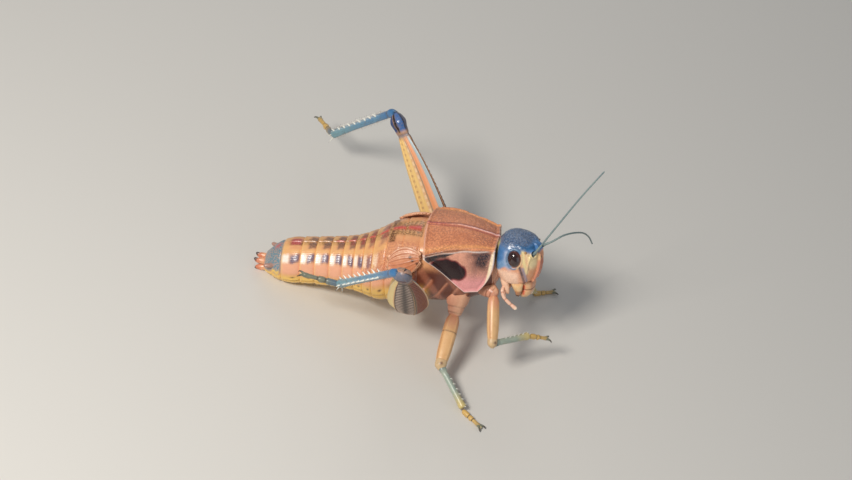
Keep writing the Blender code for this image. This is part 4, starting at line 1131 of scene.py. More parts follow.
def makeHead():
    u = np.linspace(0, 2 * math.pi, 240, endpoint=False)
    angle = (u - 0.45 * np.sin(u))[None, :]
    share = np.linspace(0, 1, 176)
    z = (-2.5 + 9.64 * np.sin(share * math.pi / 2) ** 1.25)[:, None]
    back, front, half = (column for column in np.moveaxis(alongStations(head["stations"], z), -1, 0))
    middle = back + 0.45 * (front - back)
    facing = np.cos(angle) >= 0
    power = np.where(facing, 2.5, 2.1)
    x = middle + np.where(facing, front - middle, middle - back) * rounded(np.cos(angle), power)
    y = half * rounded(np.sin(angle), power)
    grid = np.stack([x, y, np.broadcast_to(z, y.shape)], axis=-1)
    side = np.abs(y)
    faceOn = soft(5.2, 6.6, x) * soft(-2.4, -1.6, z) * (1 - soft(5.6, 6.4, z))
    costa = alongStations(head["costaWidth"], z)[..., 0]
    lift = head["costaLift"] * (1 - soft(costa - 0.14, costa + 0.16, side)) * faceOn
    hollow = 0.16 * bell(side, costa * 0.5) * within(-1.2, 4.2, 0.6, z)
    lift += (0.14 * bell(side - costa + 0.12, 0.16) - hollow) * faceOn
    carina = strokeDistance(grid, head["carina"])
    groove = strokeDistance(grid, head["groove"])
    lift += 0.17 * bell(carina, 0.2) - 0.2 * bell(groove, 0.19)
    lift += 0.16 * bell(strokeDistance(grid, ((7.25, 3.0, 4.0), (7.3, 2.9, 3.7))), 0.4)
    lean = math.radians(head["eyeLean"])
    ex, ez = x - stance["eye"][0], z - stance["eye"][2]
    ringed = np.hypot(
        (ex * math.cos(lean) - ez * math.sin(lean)) / head["eyeRadii"][0],
        (ex * math.sin(lean) + ez * math.cos(lean)) / head["eyeRadii"][2],
    )
    ringed = np.where(side > 2, ringed, 9)
    lift += (
        0.07 * bell(ringed - 1.12, 0.09) - 0.55 * (1 - soft(0.86, 1.02, ringed))
        - 0.03 * bell(ringed - 1.3, 0.09)
    )
    socket = np.linalg.norm(folded(grid) - head["socket"], axis=2)
    lift += 0.2 * bell(socket - 0.72, 0.16) - 0.3 * (1 - soft(0.3, 0.6, socket))
    top = soft(5.4, 6.2, z)
    crown = 0.1 * bell(side - 1.55 + 0.1 * (x - 4), 0.25) * soft(3.0, 4.5, x)
    lift += top * (crown - 0.14 * bell(np.hypot((x - 6.1) / 1.3, side), 0.8))
    lift -= (
        0.07 * bell(side, 0.12) * top * (1 - soft(4.5, 5.5, x)) + 0.06 * bell(x - 1.1, 0.22) * (side > 2)
        + 0.05 * bell(np.abs(x - 0.2) - 0.5, 0.2)
    )
    lift -= 0.16 * bell(z + 1.75, 0.14) * soft(5.6, 6.2, x) - 0.1 * bell(z + 1.35, 0.25) * soft(5.6, 6.2, x)
    lift += 0.035 * np.sin(x * 3.1 + z * 2.2) * np.sin(side * 2.6 - z * 1.7)
    grid = lifted(grid, lift)
    blueEdge = alongStations(head["blueEdge"], x)[..., 0]
    masks = {
        "lowerFace": soft(5.8, 7.0, x) * (1 - soft(1.0, 3.4, z)) * (1 - soft(2.9, 3.4, side)),
        "cheek": within(0.8, 5.8, 0.5, x) * (1 - soft(0.2, 1.4, z)),
        "blue": soft(-0.35, 0.35, z - blueEdge),
        "paleBlue": within(-0.2, 1.6, 0.4, z - blueEdge) * (x < 5.0),
        "navy": soft(4.6, 6.2, z) * (1 - soft(5.6, 6.8, x)) * 0.8,
        "lilac": soft(4.4, 5.8, z) * (1 - soft(6.2, 7.0, x)) * 0.75,
        "faceCream": (
            soft(6.0, 6.8, x) * within(1.6, 5.0, 0.8, z) * soft(0.8, 1.4, side) * (1 - soft(3.2, 3.9, side))
        ),
        "sunBand": bell(strokeDistance(grid, head["sunBand"]), 0.42),
        "costaRed": (1 - soft(costa - 0.1, costa + 0.25, side)) * faceOn * within(-1.4, 3.0, 0.5, z) * 0.8,
        "bumps": np.clip(
            bell(strokeDistance(grid, ((7.3, 3.0, 4.1), (7.3, 2.95, 3.5))), 0.42)
            + bell(strokeDistance(grid, ((8.2, 1.2, 4.1), (8.4, 1.1, 3.3))), 0.4),
            0,
            1,
        ),
        "tealBand": bell(strokeDistance(grid, head["tealBand"]), 0.34),
        "brownLine": bell(strokeDistance(grid, head["brownLine"]), 0.13),
        "lilacRing": bell(strokeDistance(grid, head["lilacRing"]), 0.5),
        "grooveSide": bell(strokeDistance(grid, head["grooveSide"]), 0.3),
        "groove": bell(groove, 0.28),
        "eyeRing": bell(ringed - 1.1, 0.1) * (ex < 0.9),
        "eyeStrip": bell(ringed - 1.13, 0.09) * soft(0.5, 1.0, ex) * (1 - soft(0.6, 1.4, ez)),
        "rearEdge": (1 - soft(0.5, 0.95, x)) * soft(-1, 1, z) * (1 - soft(5.0, 6.2, z)),
        "clypealLine": bell(z + 1.78, 0.13) * soft(5.8, 6.3, x),
        "socket": 1 - soft(0.45, 0.62, socket),
        "grain": top + 0.3 * (1 - soft(6.0, 7.0, x)),
    }
    piece = skin("headCapsule", grid, masks, headFrame)
    piece = applyRecipe(piece, granules, head["grain"])
    return finished(piece, cuticle("headShell", headLook), "head_shell", "head")


def ball(name, centre, radii, place, rows=28, columns=40, turn=None, masks=None):
    polar = np.linspace(0.02, math.pi - 0.02, rows)[:, None]
    angle = around(columns)
    unit = np.stack(
        [
            np.sin(polar) * np.cos(angle),
            np.sin(polar) * np.sin(angle),
            np.broadcast_to(np.cos(polar), (rows, columns)),
        ],
        axis=-1,
    )
    spots = unit * np.array(radii)
    if turn is not None:
        spots = spots @ np.array(turn.to_3x3()).T
    masks = {key: make(unit) for key, make in (masks or {}).items()}
    return skin(name, spots + np.array(centre), masks, place)


eyeLook = {
    "base": (46, 16, 18),
    "second": (28, 9, 12),
    "cloud": 1.2,
    "rough": 0.12,
    "roughSpread": 0.05,
    "coat": 1.0,
    "coatRough": 0.05,
    "bump": 0.1,
    "relief": 0.01,
    "pits": (0.07, 0.6, None),
    "layers": (("eyeRim", (84, 40, 34), 0.2, 0.0),),
}


def makeEyes():
    material = cuticle("eyeShell", eyeLook)
    for side, sign in bothSides:
        x, y, z = stance["eye"]
        turn = turned("Y", head["eyeLean"]) @ turned("Z", sign * 4)
        rim = {"eyeRim": lambda unit: 1 - soft(0.34, 0.56, np.abs(unit[..., 1]))}
        piece = ball(
            side + "Eye", (x, sign * (y + 0.05), z), head["eyeRadii"], headFrame, 64, 96, turn, rim
        )
        finished(piece, material, "eye_glass", "eye_" + side)
    radii = (head["smallEye"], head["smallEye"], head["smallEye"] * 1.15)
    ocelli = [ball("smallEye", centre, radii, headFrame, 16, 24) for centre in head["smallEyes"]]
    look = {**eyeLook, "base": (196, 150, 90), "second": (130, 86, 60), "layers": ()}
    finished(joined("smallEyes", ocelli), cuticle("ocellusShell", look), "eye_glass")


makeHead()
makeEyes()
print("head made")

# mouth

mouth = {
    # height, half width, front, depth
    "lip": (
        (-1.95, 2.4, 7.4, 2.6), (-2.45, 2.34, 7.6, 2.6), (-3.0, 2.26, 7.74, 2.5), (-3.6, 2.14, 7.77, 2.3),
        (-4.0, 2.2, 7.72, 2.2), (-4.8, 2.05, 7.5, 1.95), (-5.3, 1.75, 7.25, 1.65), (-5.7, 1.35, 6.95, 1.3),
        (-5.85, 0.8, 6.7, 0.7),
    ),
    # height, x, y, half length, half width
    "jaw": (
        (-1.7, 5.2, 2.95, 1.2, 0.7), (-2.45, 5.28, 3.05, 1.22, 0.74), (-3.2, 5.45, 2.95, 1.0, 0.72),
        (-3.9, 5.55, 2.8, 0.72, 0.62), (-4.5, 5.52, 2.55, 0.48, 0.46), (-5.0, 5.42, 2.25, 0.3, 0.3),
        (-5.25, 5.36, 2.1, 0.14, 0.15),
    ),
    "inner": (
        (-1.8, 2.6, 2.9, 0.9, 0.8), (-2.45, 2.7, 3.0, 0.88, 0.78), (-3.4, 3.0, 3.05, 0.78, 0.66),
        (-4.3, 3.35, 3.05, 0.56, 0.5), (-4.8, 3.55, 3.05, 0.34, 0.32), (-5.0, 3.62, 3.05, 0.16, 0.16),
    ),
    "lower": (
        (-1.8, 1.8, 0.0, 0.6, 1.35), (-2.45, 1.9, 0.0, 0.6, 1.35), (-4.0, 2.2, 0.0, 0.55, 1.2),
        (-4.9, 2.6, 0.0, 0.45, 0.9), (-5.2, 2.75, 0.0, 0.25, 0.5),
    ),
    "maxillary": (
        (2.7, 3.3, -3.5), (2.9, 4.35, -4.0), (3.4, 4.5, -5.1), (4.4, 4.3, -6.1), (6.2, 3.95, -7.3)
    ),
    "labial": ((1.9, 1.2, -2.6), (2.0, 1.75, -3.2), (2.3, 2.1, -4.9), (2.8, 2.5, -6.5)),
    "palpRadius": 0.36,
}
mouthLook = {
    "base": (238, 206, 156),
    "second": (228, 180, 126),
    "cloud": 1.1,
    "fleck": 0.22,
    "rough": 0.32,
    "coat": 0.35,
    "relief": 0.04,
    "layers": (
        ("flush", (222, 132, 96), 0.3, 0.0),
        ("pink", (240, 194, 168), 0.4, 0.0),
        ("redEdge", (220, 84, 54), 0.4, 0.0),
        ("brown", (186, 112, 60), 0.5, 0.1),
        ("tooth", (84, 48, 34), 0.3, 0.0),
        ("seam", (120, 70, 50), 0.2, 0.0),
        ("knuckle", (212, 150, 120), 0.3, 0.0),
        ("paleTip", (244, 222, 196), 0.2, 0.0),
    ),
    "gloss": (("tooth", 0.15),),
}


def stackedOvals(name, ovals, sign, masksFor, teeth=0.0):
    # a mouth piece of level ovals one under the other, closed by two small ones
    top, bottom = ovals[0][0], ovals[-1][0]
    z = np.concatenate([np.linspace(top, bottom + 0.25, 46), np.linspace(bottom + 0.23, bottom, 10)])
    x, y, length, width = alongStations(ovals, z).T[:, :, None]
    angle = around(56)
    notches = soft(bottom + 1.15, bottom + 0.35, z)[:, None] * (0.5 + 0.5 * np.cos(angle * 7))
    zz = z[:, None] - teeth * notches
    swell = 1 + 0.04 * np.sin(z * 5)[:, None] * np.cos(angle * 2)
    grid = np.stack(
        [x + length * swell * np.cos(angle), sign * (y + width * swell * np.sin(angle)), zz], axis=-1
    )
    return skin(name, grid, masksFor(zz), headFrame)


def palpPiece(name, kind, sign):
    # a palp of round joints with a waist between each two and a blunt end
    path = np.array(mouth[kind]) * np.array((1, sign, 1))
    joints = len(path) - 1
    along = np.linspace(0, joints, 90)
    joint = np.abs((along + 0.5) % 1 - 0.5)
    waist = 0.24 * bell(joint, 0.09) * ((along > 0.3) & (along < joints - 0.3))
    end = np.sqrt(np.clip(1 - ((along - joints + 0.22) / 0.225) ** 2, 0.02, 1))
    radius = mouth["palpRadius"] * (1 - waist) * np.where(along > joints - 0.22, end, 1.0)
    radius = radius * (0.8 + 0.2 * soft(0.0, 0.8, along)) * (1 + 0.1 * bell(along - joints + 0.35, 0.3))
    masks = {
        "pink": 1.0,
        "knuckle": bell(joint, 0.1)[:, None],
        "paleTip": soft(joints - 0.5, joints - 0.1, along)[:, None],
    }
    return skin(name, tube(curvePoints(path, 90), radius, 24, (1, 0, 0.2)), masks, headFrame)


def makeLip(material):
    z = np.concatenate([np.linspace(-1.95, -5.5, 62), np.linspace(-5.52, -5.85, 12)])
    half, front, depth = alongStations(mouth["lip"], z).T[:, :, None]
    angle = around(88)
    bulge = 1.2
    x = front - bulge + np.where(np.cos(angle) >= 0, bulge, np.maximum(depth - bulge, 0.2)) * np.cos(angle)
    y = half * rounded(np.sin(angle), 2.5)
    zz = np.broadcast_to(z[:, None], y.shape).copy()
    side, front = np.abs(y), x > front - bulge
    zz += 0.5 * bell(y, 0.5) * soft(-5.1, -5.85, zz)
    seam = bell(zz + 3.7 - 0.05 * side, 0.12)
    lift = -0.14 * seam - 0.1 * bell(side, 0.2) * within(-6.0, -4.2, 0.3, zz) * front
    lift += (
        0.1 * bell(np.hypot(side - 1.1, zz + 4.7), 0.8) * front
        + 0.07 * bell(np.hypot(side - 1.3, zz + 2.9), 0.7) * front
    )
    grid = np.stack([x, y, zz], axis=-1)
    grid = lifted(grid, lift)
    masks = {
        "flush": front * (0.7 - 0.4 * soft(0.8, 1.8, side)) * (1 - 0.5 * soft(-3.4, -4.2, zz)),
        "redEdge": bell(
            strokeDistance(grid, ((6.5, 2.35, -2.7), (6.55, 2.2, -3.6), (6.5, 2.0, -4.6))), 0.3
        ),
        "brown": soft(-5.2, -5.8, zz) * 0.6,
        "seam": seam * 0.7,
    }
    finished(skin("upperLip", grid, masks, headFrame), material, "mouth_shell", "labrum")


def makeMouth():
    material = cuticle("mouthShell", mouthLook)
    makeLip(material)

    def jawMasks(z):
        return {
            "brown": soft(-3.2, -4.1, z) * 0.85,
            "tooth": soft(-4.75, -5.1, z),
            "flush": 0.3 * soft(-2.6, -1.8, z),
        }

    def softMasks(z):
        return {"brown": soft(-4.2, -4.9, z) * 0.5, "pink": 0.8}

    finished(stackedOvals("lowerLip", mouth["lower"], 1, softMasks), material, "mouth_shell", "labium")
    for side, sign in bothSides:
        piece = stackedOvals(side + "Jaw", mouth["jaw"], sign, jawMasks, 0.28)
        finished(piece, material, "mouth_shell", "mandible_" + side)
        piece = stackedOvals(side + "InnerJaw", mouth["inner"], sign, softMasks)
        finished(piece, material, "mouth_shell", "maxilla_" + side)
        for kind in ("maxillary", "labial"):
            finished(
                palpPiece(f"{kind}Palp{side}", kind, sign), material, "mouth_shell", f"palp_{kind}_{side}"
            )


makeMouth()
print("mouth made")

# feelers

feeler = {
    "right": (
        (7.5, -2.0, 4.35), (8.0, -1.85, 5.2), (8.85, -1.5, 6.8), (11.35, -0.5, 11.6), (14.75, 1.0, 18.0),
        (18.15, 2.5, 23.8),
    ),
    "left": (
        (7.5, 2.0, 4.4), (8.3, 2.1, 5.2), (9.25, 2.4, 5.8), (11.15, 4.4, 7.1), (12.55, 9.5, 5.9),
        (12.6, 14.5, 3.0), (12.15, 19.2, -0.9),
    ),
    "rings": 24,
    "width": 0.2,
}
feelerLook = {
    "base": (132, 148, 144),
    "second": (106, 124, 128),
    "cloud": 2.0,
    "rough": 0.45,
    "relief": 0.03,
}


def makeFeelers():
    material = cuticle("feelerShell", feelerLook)
    for side in ("left", "right"):
        curve = bpy.data.curves.new(side + "Feeler", "CURVE")
        curve.dimensions = "3D"
        points = curvePoints(feeler[side], 80)
        spline = curve.splines.new("POLY")
        spline.points.add(len(points) - 1)
        for knot, point in zip(spline.points, points):
            knot.co = (*((headFrame @ Vector(point)) * mm), 1.0)
        piece = applyRecipe(
            added(side + "Feeler", curve),
            ringedFeeler,
            {"Rings": feeler["rings"], "Width": feeler["width"]},
        )
        piece.data.shade_smooth()
        finished(piece, material, "antenna_shell", "antenna_" + side)


makeFeelers()
print("feelers made")

# legs

legs = {
    "hip": {"fore": (14.3, 5.0, -11.8), "mid": (6.9, 6.5, -16.4), "hind": (0.4, 7.5, -15.0)},
    "hindSwing": {"left": (3.9, 0.0, 0.0), "right": (-2.6, 0.0, -1.0)},
    "coxaRoot": {"fore": (11.3, 2.8, -11.5), "mid": (7.4, 3.2, -12.0), "hind": (-0.2, 3.4, -10.5)},
    "coxaRadii": {"fore": (1.8, 1.35), "mid": (2.3, 1.6), "hind": (2.6, 1.85)},
    "femur": {"fore": 10.0, "mid": 11.5, "hind": 31.0},
    "tibia": {"fore": 9.5, "mid": 9.8, "hind": 25.5},
    "tarsus": {"fore": 4.6, "mid": 4.8, "hind": 7.4},
    "femurRadius": {"fore": 1.25, "mid": 1.42},
    "tibiaRadius": {"fore": 0.7, "mid": 0.7, "hind": 0.82},
    "shinBend": 1.4,
    # bearing and rise of thigh, shin and foot; None stands on the floor
    "pose": {
        ("fore", "right"): ((-70.8, -37.5), (43.5, -7.5), (30, -18)),
        ("fore", "left"): ((55, -42), (35, None), (30, None)),
        ("mid", "right"): ((-89, -26.9), (-43, None), (-35, None)),
        ("mid", "left"): ((88, -22), (48, None), (42, None)),
        ("hind", "right"): ((-100.65, 54.4), (132.1, -49.15), (-179, -2)),
        ("hind", "left"): ((142.5, 38.1), (136.5, -48.6), (124, -15)),
    },
    # share of the length, above, below, outer and inner half thickness
    "thigh": (
        (0.0, 1.7, 1.6, 1.1, 1.0), (0.08, 3.1, 2.8, 1.8, 1.4), (0.22, 4.0, 3.5, 2.1, 1.7),
        (0.38, 4.15, 3.6, 1.9, 1.55),
        (0.55, 3.85, 3.2, 1.5, 1.3), (0.72, 3.0, 2.55, 1.15, 1.05), (0.86, 1.8, 1.65, 0.95, 0.95),
        (0.93, 1.5, 1.75, 1.15, 1.15), (0.975, 1.65, 2.0, 1.3, 1.3), (1.02, 1.15, 1.4, 0.95, 0.95),
        (1.04, 0.5, 0.6, 0.5, 0.5),
    ),
    # place round half the section, across, height
    "section": (
        (0.0, 0.0, 1.0), (0.08, 0.2, 0.94), (0.2, 0.52, 0.78), (0.33, 0.86, 0.5), (0.37, 0.87, 0.43),
        (0.5, 1.0, 0.0),
        (0.63, 0.87, -0.55), (0.67, 0.86, -0.62), (0.8, 0.53, -0.97), (0.83, 0.46, -1.0), (1.0, 0.0, -0.95),
    ),
    "chevrons": {"Pitch": 1.2, "Height": 0.16, "Slant": 1.5},
    "spines": 9,
    # shares of the hind shin: where the row of spines begins and how far it runs
    "spineRow": (0.26, 0.66),
    "spineLength": 1.3,
    "spineWidth": 0.26,
    # height of the root, lean across and up, length
    "spurs": ((-0.4, 0.5, -0.6, 2.1), (0.05, 0.75, 0.1, 1.5)),
}
thighLook = {
    "base": (220, 168, 114),
    "second": (206, 150, 98),
    "cloud": 2.4,
    "rough": 0.46,
    "coat": 0.12,
    "relief": 0.05,
    "layers": (
        # upper band of the outer face: reddish-brown of its own, painted dark as shade on the side turned
        # from the light
        ("redBrownAndShade", (112, 36, 22), 0.4, 0.1),
        ("outerField", (64, 48, 44), 0.4, 0.0),
        ("ladder", (240, 214, 196), 0.3, 0.0),
        ("centreDark", (66, 58, 54), 0.6, 0.1),
        ("stripeDark", (44, 48, 42), 0.5, 0.0),
        ("under", (246, 218, 148), 0.4, 0.0),
        ("innerSun", (242, 202, 128), 0.4, 0.0),
        ("innerDots", (202, 152, 96), 0.6, 0.2),
        ("orange", (226, 150, 100), 0.5, 0.1),
        ("orangePale", (236, 178, 144), 0.5, 0.2),
        ("pinkLine", (244, 214, 176), 0.5, 0.2),
        ("greyLine", (108, 116, 110), 0.5, 0.05),
        ("paleStripe", (158, 178, 184), 0.5, 0.1),
        # painted shade along the thigh's upper edge on the inner face
        ("shadedUpperEdge", (62, 22, 22), 0.4, 0.0),
        ("keelPale", (226, 206, 178), 0.5, 0.2),
        ("kneeNavy", (26, 60, 116), 0.5, 0.0),
        ("kneeBlue", (60, 102, 158), 0.6, 0.1),
        ("kneeSlate", (104, 110, 128), 0.6, 0.1),
        ("kneeDark", (20, 22, 36), 0.5, 0.0),
        ("kneeRose", (104, 60, 54), 0.6, 0.0),
    ),
    "gloss": (("kneeBlue", 0.2), ("kneeDark", 0.15)),
}
shinLook = {
    "base": (74, 122, 164),
    "second": (98, 146, 172),
    "cloud": 1.6,
    "rough": 0.3,
    "coat": 0.4,
    "relief": 0.03,
    "layers": (
        ("teal", (112, 154, 166), 0.3, 0.0),
        ("pale", (172, 192, 202), 0.6, 0.25),
        ("kneeEnd", (62, 114, 162), 0.4, 0.0),
        ("dark", (30, 32, 48), 0.5, 0.0),
    ),
}
slimLook = {
    "base": (226, 182, 130),
    "second": (212, 162, 110),
    "cloud": 1.5,
    "rough": 0.44,
    "coat": 0.16,
    "relief": 0.04,
    "layers": (
        ("blush", (214, 146, 116), 0.4, 0.0),
        ("rib", (234, 188, 134), 0.5, 0.3),
        ("shadeLine", (180, 112, 70), 0.6, 0.4),
        ("kneeGrey", (196, 178, 142), 0.6, 0.1),
        ("kneeMark", (112, 78, 58), 0.6, 0.1),
    ),
}
greyShinLook = {
    "base": (150, 166, 154),
    "second": (168, 176, 158),
    "cloud": 1.3,
    "rough": 0.36,
    "coat": 0.3,
    "relief": 0.03,
    "layers": (("far", (212, 186, 112), 0.3, 0.0), ("dark", (84, 100, 104), 0.3, 0.0)),
}
footLook = {
    "base": (132, 132, 108),
    "second": (104, 108, 96),
    "cloud": 0.9,
    "rough": 0.4,
    "coat": 0.25,
    "relief": 0.03,
    "layers": (
        ("sun", (222, 178, 96), 0.3, 0.0),
        ("slate", (92, 112, 128), 0.3, 0.0),
        ("pad", (212, 196, 150), 0.2, 0.0),
        ("claw", (58, 40, 30), 0.3, 0.0),
        ("joint", (70, 62, 52), 0.2, 0.0),
    ),
}
coxaLook = {
    "base": (218, 158, 128),
    "second": (196, 126, 98),
    "cloud": 1.5,
    "rough": 0.38,
    "coat": 0.25,
    "relief": 0.06,
    "layers": (("joint", (150, 90, 66), 0.3, 0.0), ("plate", (232, 186, 150), 0.4, 0.0)),
}
spineLook = {
    "base": (236, 234, 222),
    "second": (222, 222, 212),
    "cloud": 0.8,
    "rough": 0.3,
    "coat": 0.4,
    "bump": 0.1,
    "layers": (("tip", (40, 34, 36), 0.0, 0.0),),
}


def mirrored(point, side):
    return Vector((point[0], point[1] if side == "left" else -point[1], point[2]))


def wayOf(bearing, rise):
    bearing, rise = math.radians(bearing), math.radians(rise)
    return Vector((math.cos(rise) * math.cos(bearing), math.cos(rise) * math.sin(bearing), math.sin(rise)))


def placedAt(point, along, upward):
    along = along.normalized()
    side = upward.cross(along).normalized()
    return Matrix.Translation(point) @ Matrix((along, side, along.cross(side))).transposed().to_4x4()


def legPlaces(kind, side):
    # where the parts of one leg start and how they are turned
    hip = mirrored(legs["hip"][kind], side)
    if kind == "hind":
        hip += Vector(legs["hindSwing"][side])
    root = bodyFrame @ mirrored(legs["coxaRoot"][kind], side)
    hip = bodyFrame @ hip
    thighAngles, shinAngles, footAngles = legs["pose"][kind, side]
    thigh = wayOf(*thighAngles)
    knee = hip + thigh * legs["femur"][kind]
    rise = shinAngles[1]
    if rise is None:
        rise = math.degrees(math.asin((stance["ankleHeight"] - knee.z) / legs["tibia"][kind]))
    shin = wayOf(shinAngles[0], rise)
    ankle = knee + shin * legs["tibia"][kind]
    planted = footAngles[1] is None
    foot = wayOf(footAngles[0], 0.0 if planted else footAngles[1])
    if planted:
        ankle = Vector((ankle.x, ankle.y, stance["footHeight"]))
    return {
        "root": root,
        "hip": hip,
        "femur": placedAt(hip, thigh, -(shin - thigh * shin.dot(thigh))),
        "tibia": placedAt(knee, shin, thigh),
        "tarsus": placedAt(ankle, foot, Vector((0, 0, 1))),
    }


def straightTube(x, radius, sides, squareness=2.0):
    path = np.stack([x, np.zeros_like(x), np.zeros_like(x)], axis=1)
    return tube(path, radius, sides, (0, 0, 1), squareness)


def profile(stations, where):
    return alongStations(stations, np.asarray(where, float))[..., 0]


def thornPiece(name, roots, leans, sizes, place, slot):
    # points that carry the way and the size of their thorns, then the thorns themselves
    turn = np.array(place.to_3x3())
    piece = meshPiece(name, roots, [], None, place)
    vectors = {"lean": np.asarray(leans, float) @ turn.T, "size": np.asarray(sizes, float) * mm}
    for key, values in vectors.items():
        layer = piece.data.attributes.new(key, "FLOAT_VECTOR", "POINT")
        layer.data.foreach_set("vector", np.ascontiguousarray(values, np.float32).ravel())
    piece = applyRecipe(piece, thorns, {"Material": materials["spine"]})
    piece.data.shade_smooth()
    finished(piece, materials["spine"], slot)


def makeCoxa(kind, side, places):
    wide, narrow = legs["coxaRadii"][kind]
    root, hip = places["root"], places["hip"]
    length = (hip - root).length
    place = placedAt(root, hip - root, bodyFrame.to_3x3() @ Vector((1, 0, 0.2)))
    x = np.concatenate([np.linspace(0, length, 44), length + np.linspace(0.05, narrow * 0.62, 14)])
    sizes = (
        (0, wide), (0.45 * length, wide), (0.78 * length, narrow * 1.12), (length, narrow * 0.92),
        (length + narrow * 0.35, narrow * 0.76), (length + narrow * 0.62, narrow * 0.35),
    )
    radius = profile(sizes, x)
    joint = bell(x - length * 0.8, 0.14)
    radius = radius - 0.08 * joint
    grid = straightTube(x, radius, 48)
    angle = around(48)
    lift = (
        0.14 * np.sin(angle * 2 + 0.6) * soft(0.1, 0.5, x / length)[:, None]
        * (1 - soft(0.7, 0.85, x / length))[:, None]
        + 0.1 * bell(np.sin(angle / 2 + 0.4), 0.16)
    )
    grid = lifted(grid, lift)
    masks = {
        "joint": np.maximum(joint, bell(x - length - 0.1, 0.14))[:, None],
        "plate": 0.6 * bell(np.sin(angle / 2 + 0.4), 0.4),
    }
    piece = skin(f"{kind}Coxa{side}", grid, masks, place)
    finished(piece, materials["coxa"], "thorax_shell", f"coxa_{kind}_{side}")


def makeThigh(side, places):
    outer = -1 if side == "left" else 1
    length = legs["femur"]["hind"]
    share = chained(0.045, (0.88, 250), (1.04, 60))
    half = chained(0, (0.1, 9), (1.0, 74))
    t = np.concatenate([half, half[-2:0:-1]])[None, :]
    # t is 0 on the upper edge and 1 on the lower one, first down the outer face and then up the inner one
    facing = np.concatenate([np.ones(len(half)), -np.ones(len(half) - 2)])[None, :]
    up, down, out, inward = alongStations(legs["thigh"], share).T[:, :, None]
    across, high = np.moveaxis(alongStations(legs["section"], t), -1, 0)
    y = outer * facing * across * np.where(facing > 0, out, inward)
    z = np.where(high > 0, up, down) * high
    x = np.broadcast_to((share * length)[:, None], y.shape)
    s = share[:, None]
    blade = 1 - soft(0.84, 0.9, s)
    knee = soft(0.89, 0.93, s)
    onOuter, onInner = (facing > 0) * 1.0, (facing < 0) * 1.0
    lift = (
        0.16 * bell(t, 0.02) * (0.75 + 0.25 * np.cos(x * 5.2)) * blade
        + 0.13 * (bell(t - 0.345, 0.016) + bell(t - 0.655, 0.016)) * blade
    )
    lift += 0.11 * bell(t - 0.815, 0.014) * blade
    lift += 0.035 * np.cos(x * 6.6 + 3 * t) * within(0.09, 0.3, 0.02, t) * onOuter * blade
    lift -= 0.1 * onInner * blade * (bell(t - 0.49, 0.025) + 0.6 * bell(t - 0.24, 0.02))
    # side lobes of the knee with the crescent between them
    crescent = bell(np.hypot((s - 0.955) * 22, (t - 0.5) * 3.4) - 0.62, 0.12)
    lobes = 0.16 * bell(np.hypot((s - 0.985) * 20, (t - 0.62) * 4), 0.7)
    lobes = lobes + 0.12 * bell(np.hypot((s - 0.97) * 20, (t - 0.3) * 4), 0.6)
    lift += knee * (lobes - 0.12 * crescent)
    lift -= 0.16 * bell((s - 0.885) * length, 0.32)
    grid = np.stack([x, y, z], axis=-1)
    grid = lifted(grid, lift)
    plain = blade * (s > 0)
    outerPlain, innerPlain = onOuter * plain, onInner * plain
    masks = {
        "reach": x,
        "spread": np.abs(t - 0.5) * 5.0,
        "field": within(0.375, 0.63, 0.012, t) * onOuter * within(0.11, 0.84, 0.03, s),
        # reddish-brown upper band of the outer face, darkened as painted shade
        "redBrownAndShade": within(0.03, 0.31, 0.02, t) * outerPlain,
        "outerField": within(0.36, 0.65, 0.015, t) * outerPlain,
        "centreDark": 0.9 * bell(t - 0.5, 0.05) * outerPlain * soft(0.1, 0.2, s),
        "stripeDark": bell(t - 0.325, 0.022) * outerPlain,
        "under": soft(0.67, 0.7, t) * outerPlain,
        "innerSun": soft(0.43, 0.46, t) * innerPlain + 0.8 * onInner * (1 - soft(0.12, 0.3, s)),
        "innerDots": bell(t - 0.58, 0.03) * soft(-0.1, 0.6, np.cos(x * 5.6)) * innerPlain,
        "orangePale": within(0.2, 0.25, 0.03, t) * innerPlain * 0.8,
        "orange": within(0.19, 0.34, 0.015, t) * innerPlain * (1 - 0.35 * (1 - soft(0.1, 0.3, s))),
        "pinkLine": (
            bell(t - 0.42, 0.03) * (0.45 + 0.55 * soft(-0.6, 0.2, np.cos(x * 4.4))) * innerPlain
            * soft(0.15, 0.35, s)
        ),
        "greyLine": bell(t - 0.355, 0.024) * innerPlain * soft(0.12, 0.4, s),
        "paleStripe": within(0.045, 0.19, 0.012, t) * innerPlain * soft(0.04, 0.16, s),
        # painted shade: a dark line along the upper edge of the inner face
        "shadedUpperEdge": (1 - soft(0.035, 0.048, t)) * innerPlain * soft(0.02, 0.12, s),
        "keelPale": (
            np.maximum(bell(t, 0.018) * (side == "right"), bell(t - 0.815, 0.018) * soft(0.35, 0.55, s))
            * outerPlain
        ),
        "kneeNavy": knee * soft(0.48, 0.53, t) * onInner * (1.0 if side == "left" else 0.4),
        "kneeBlue": knee * (1 - soft(0.34, 0.4, t)) * onInner * (1.0 if side == "left" else 0.3),
        "kneeSlate": knee * onOuter + 0.8 * bell((s - 0.885) * length, 0.5),
        "kneeDark": np.clip(
            knee * np.maximum(1.4 * bell(t - 0.43, 0.06) * onInner, 0.9 * crescent * onOuter)
            + 0.8 * knee * bell(t, 0.06),
            0,
            1,
        ),
        "kneeRose": bell(np.hypot((s - 0.96) * 22, (t - 0.42) * 4), 0.7) * knee * onOuter,
    }
    piece = skin(side + "Thigh", grid, masks, places["femur"])
    piece = applyRecipe(piece, herringbone, legs["chevrons"])
    finished(piece, materials["thigh"], "femur_shell", "femur_hind_" + side)


def shinBend(share):
    # the shin rises at once from its hinge and then sinks evenly to the ankle
    return legs["shinBend"] * soft(-0.07, 0.06, share) * (1 - share)


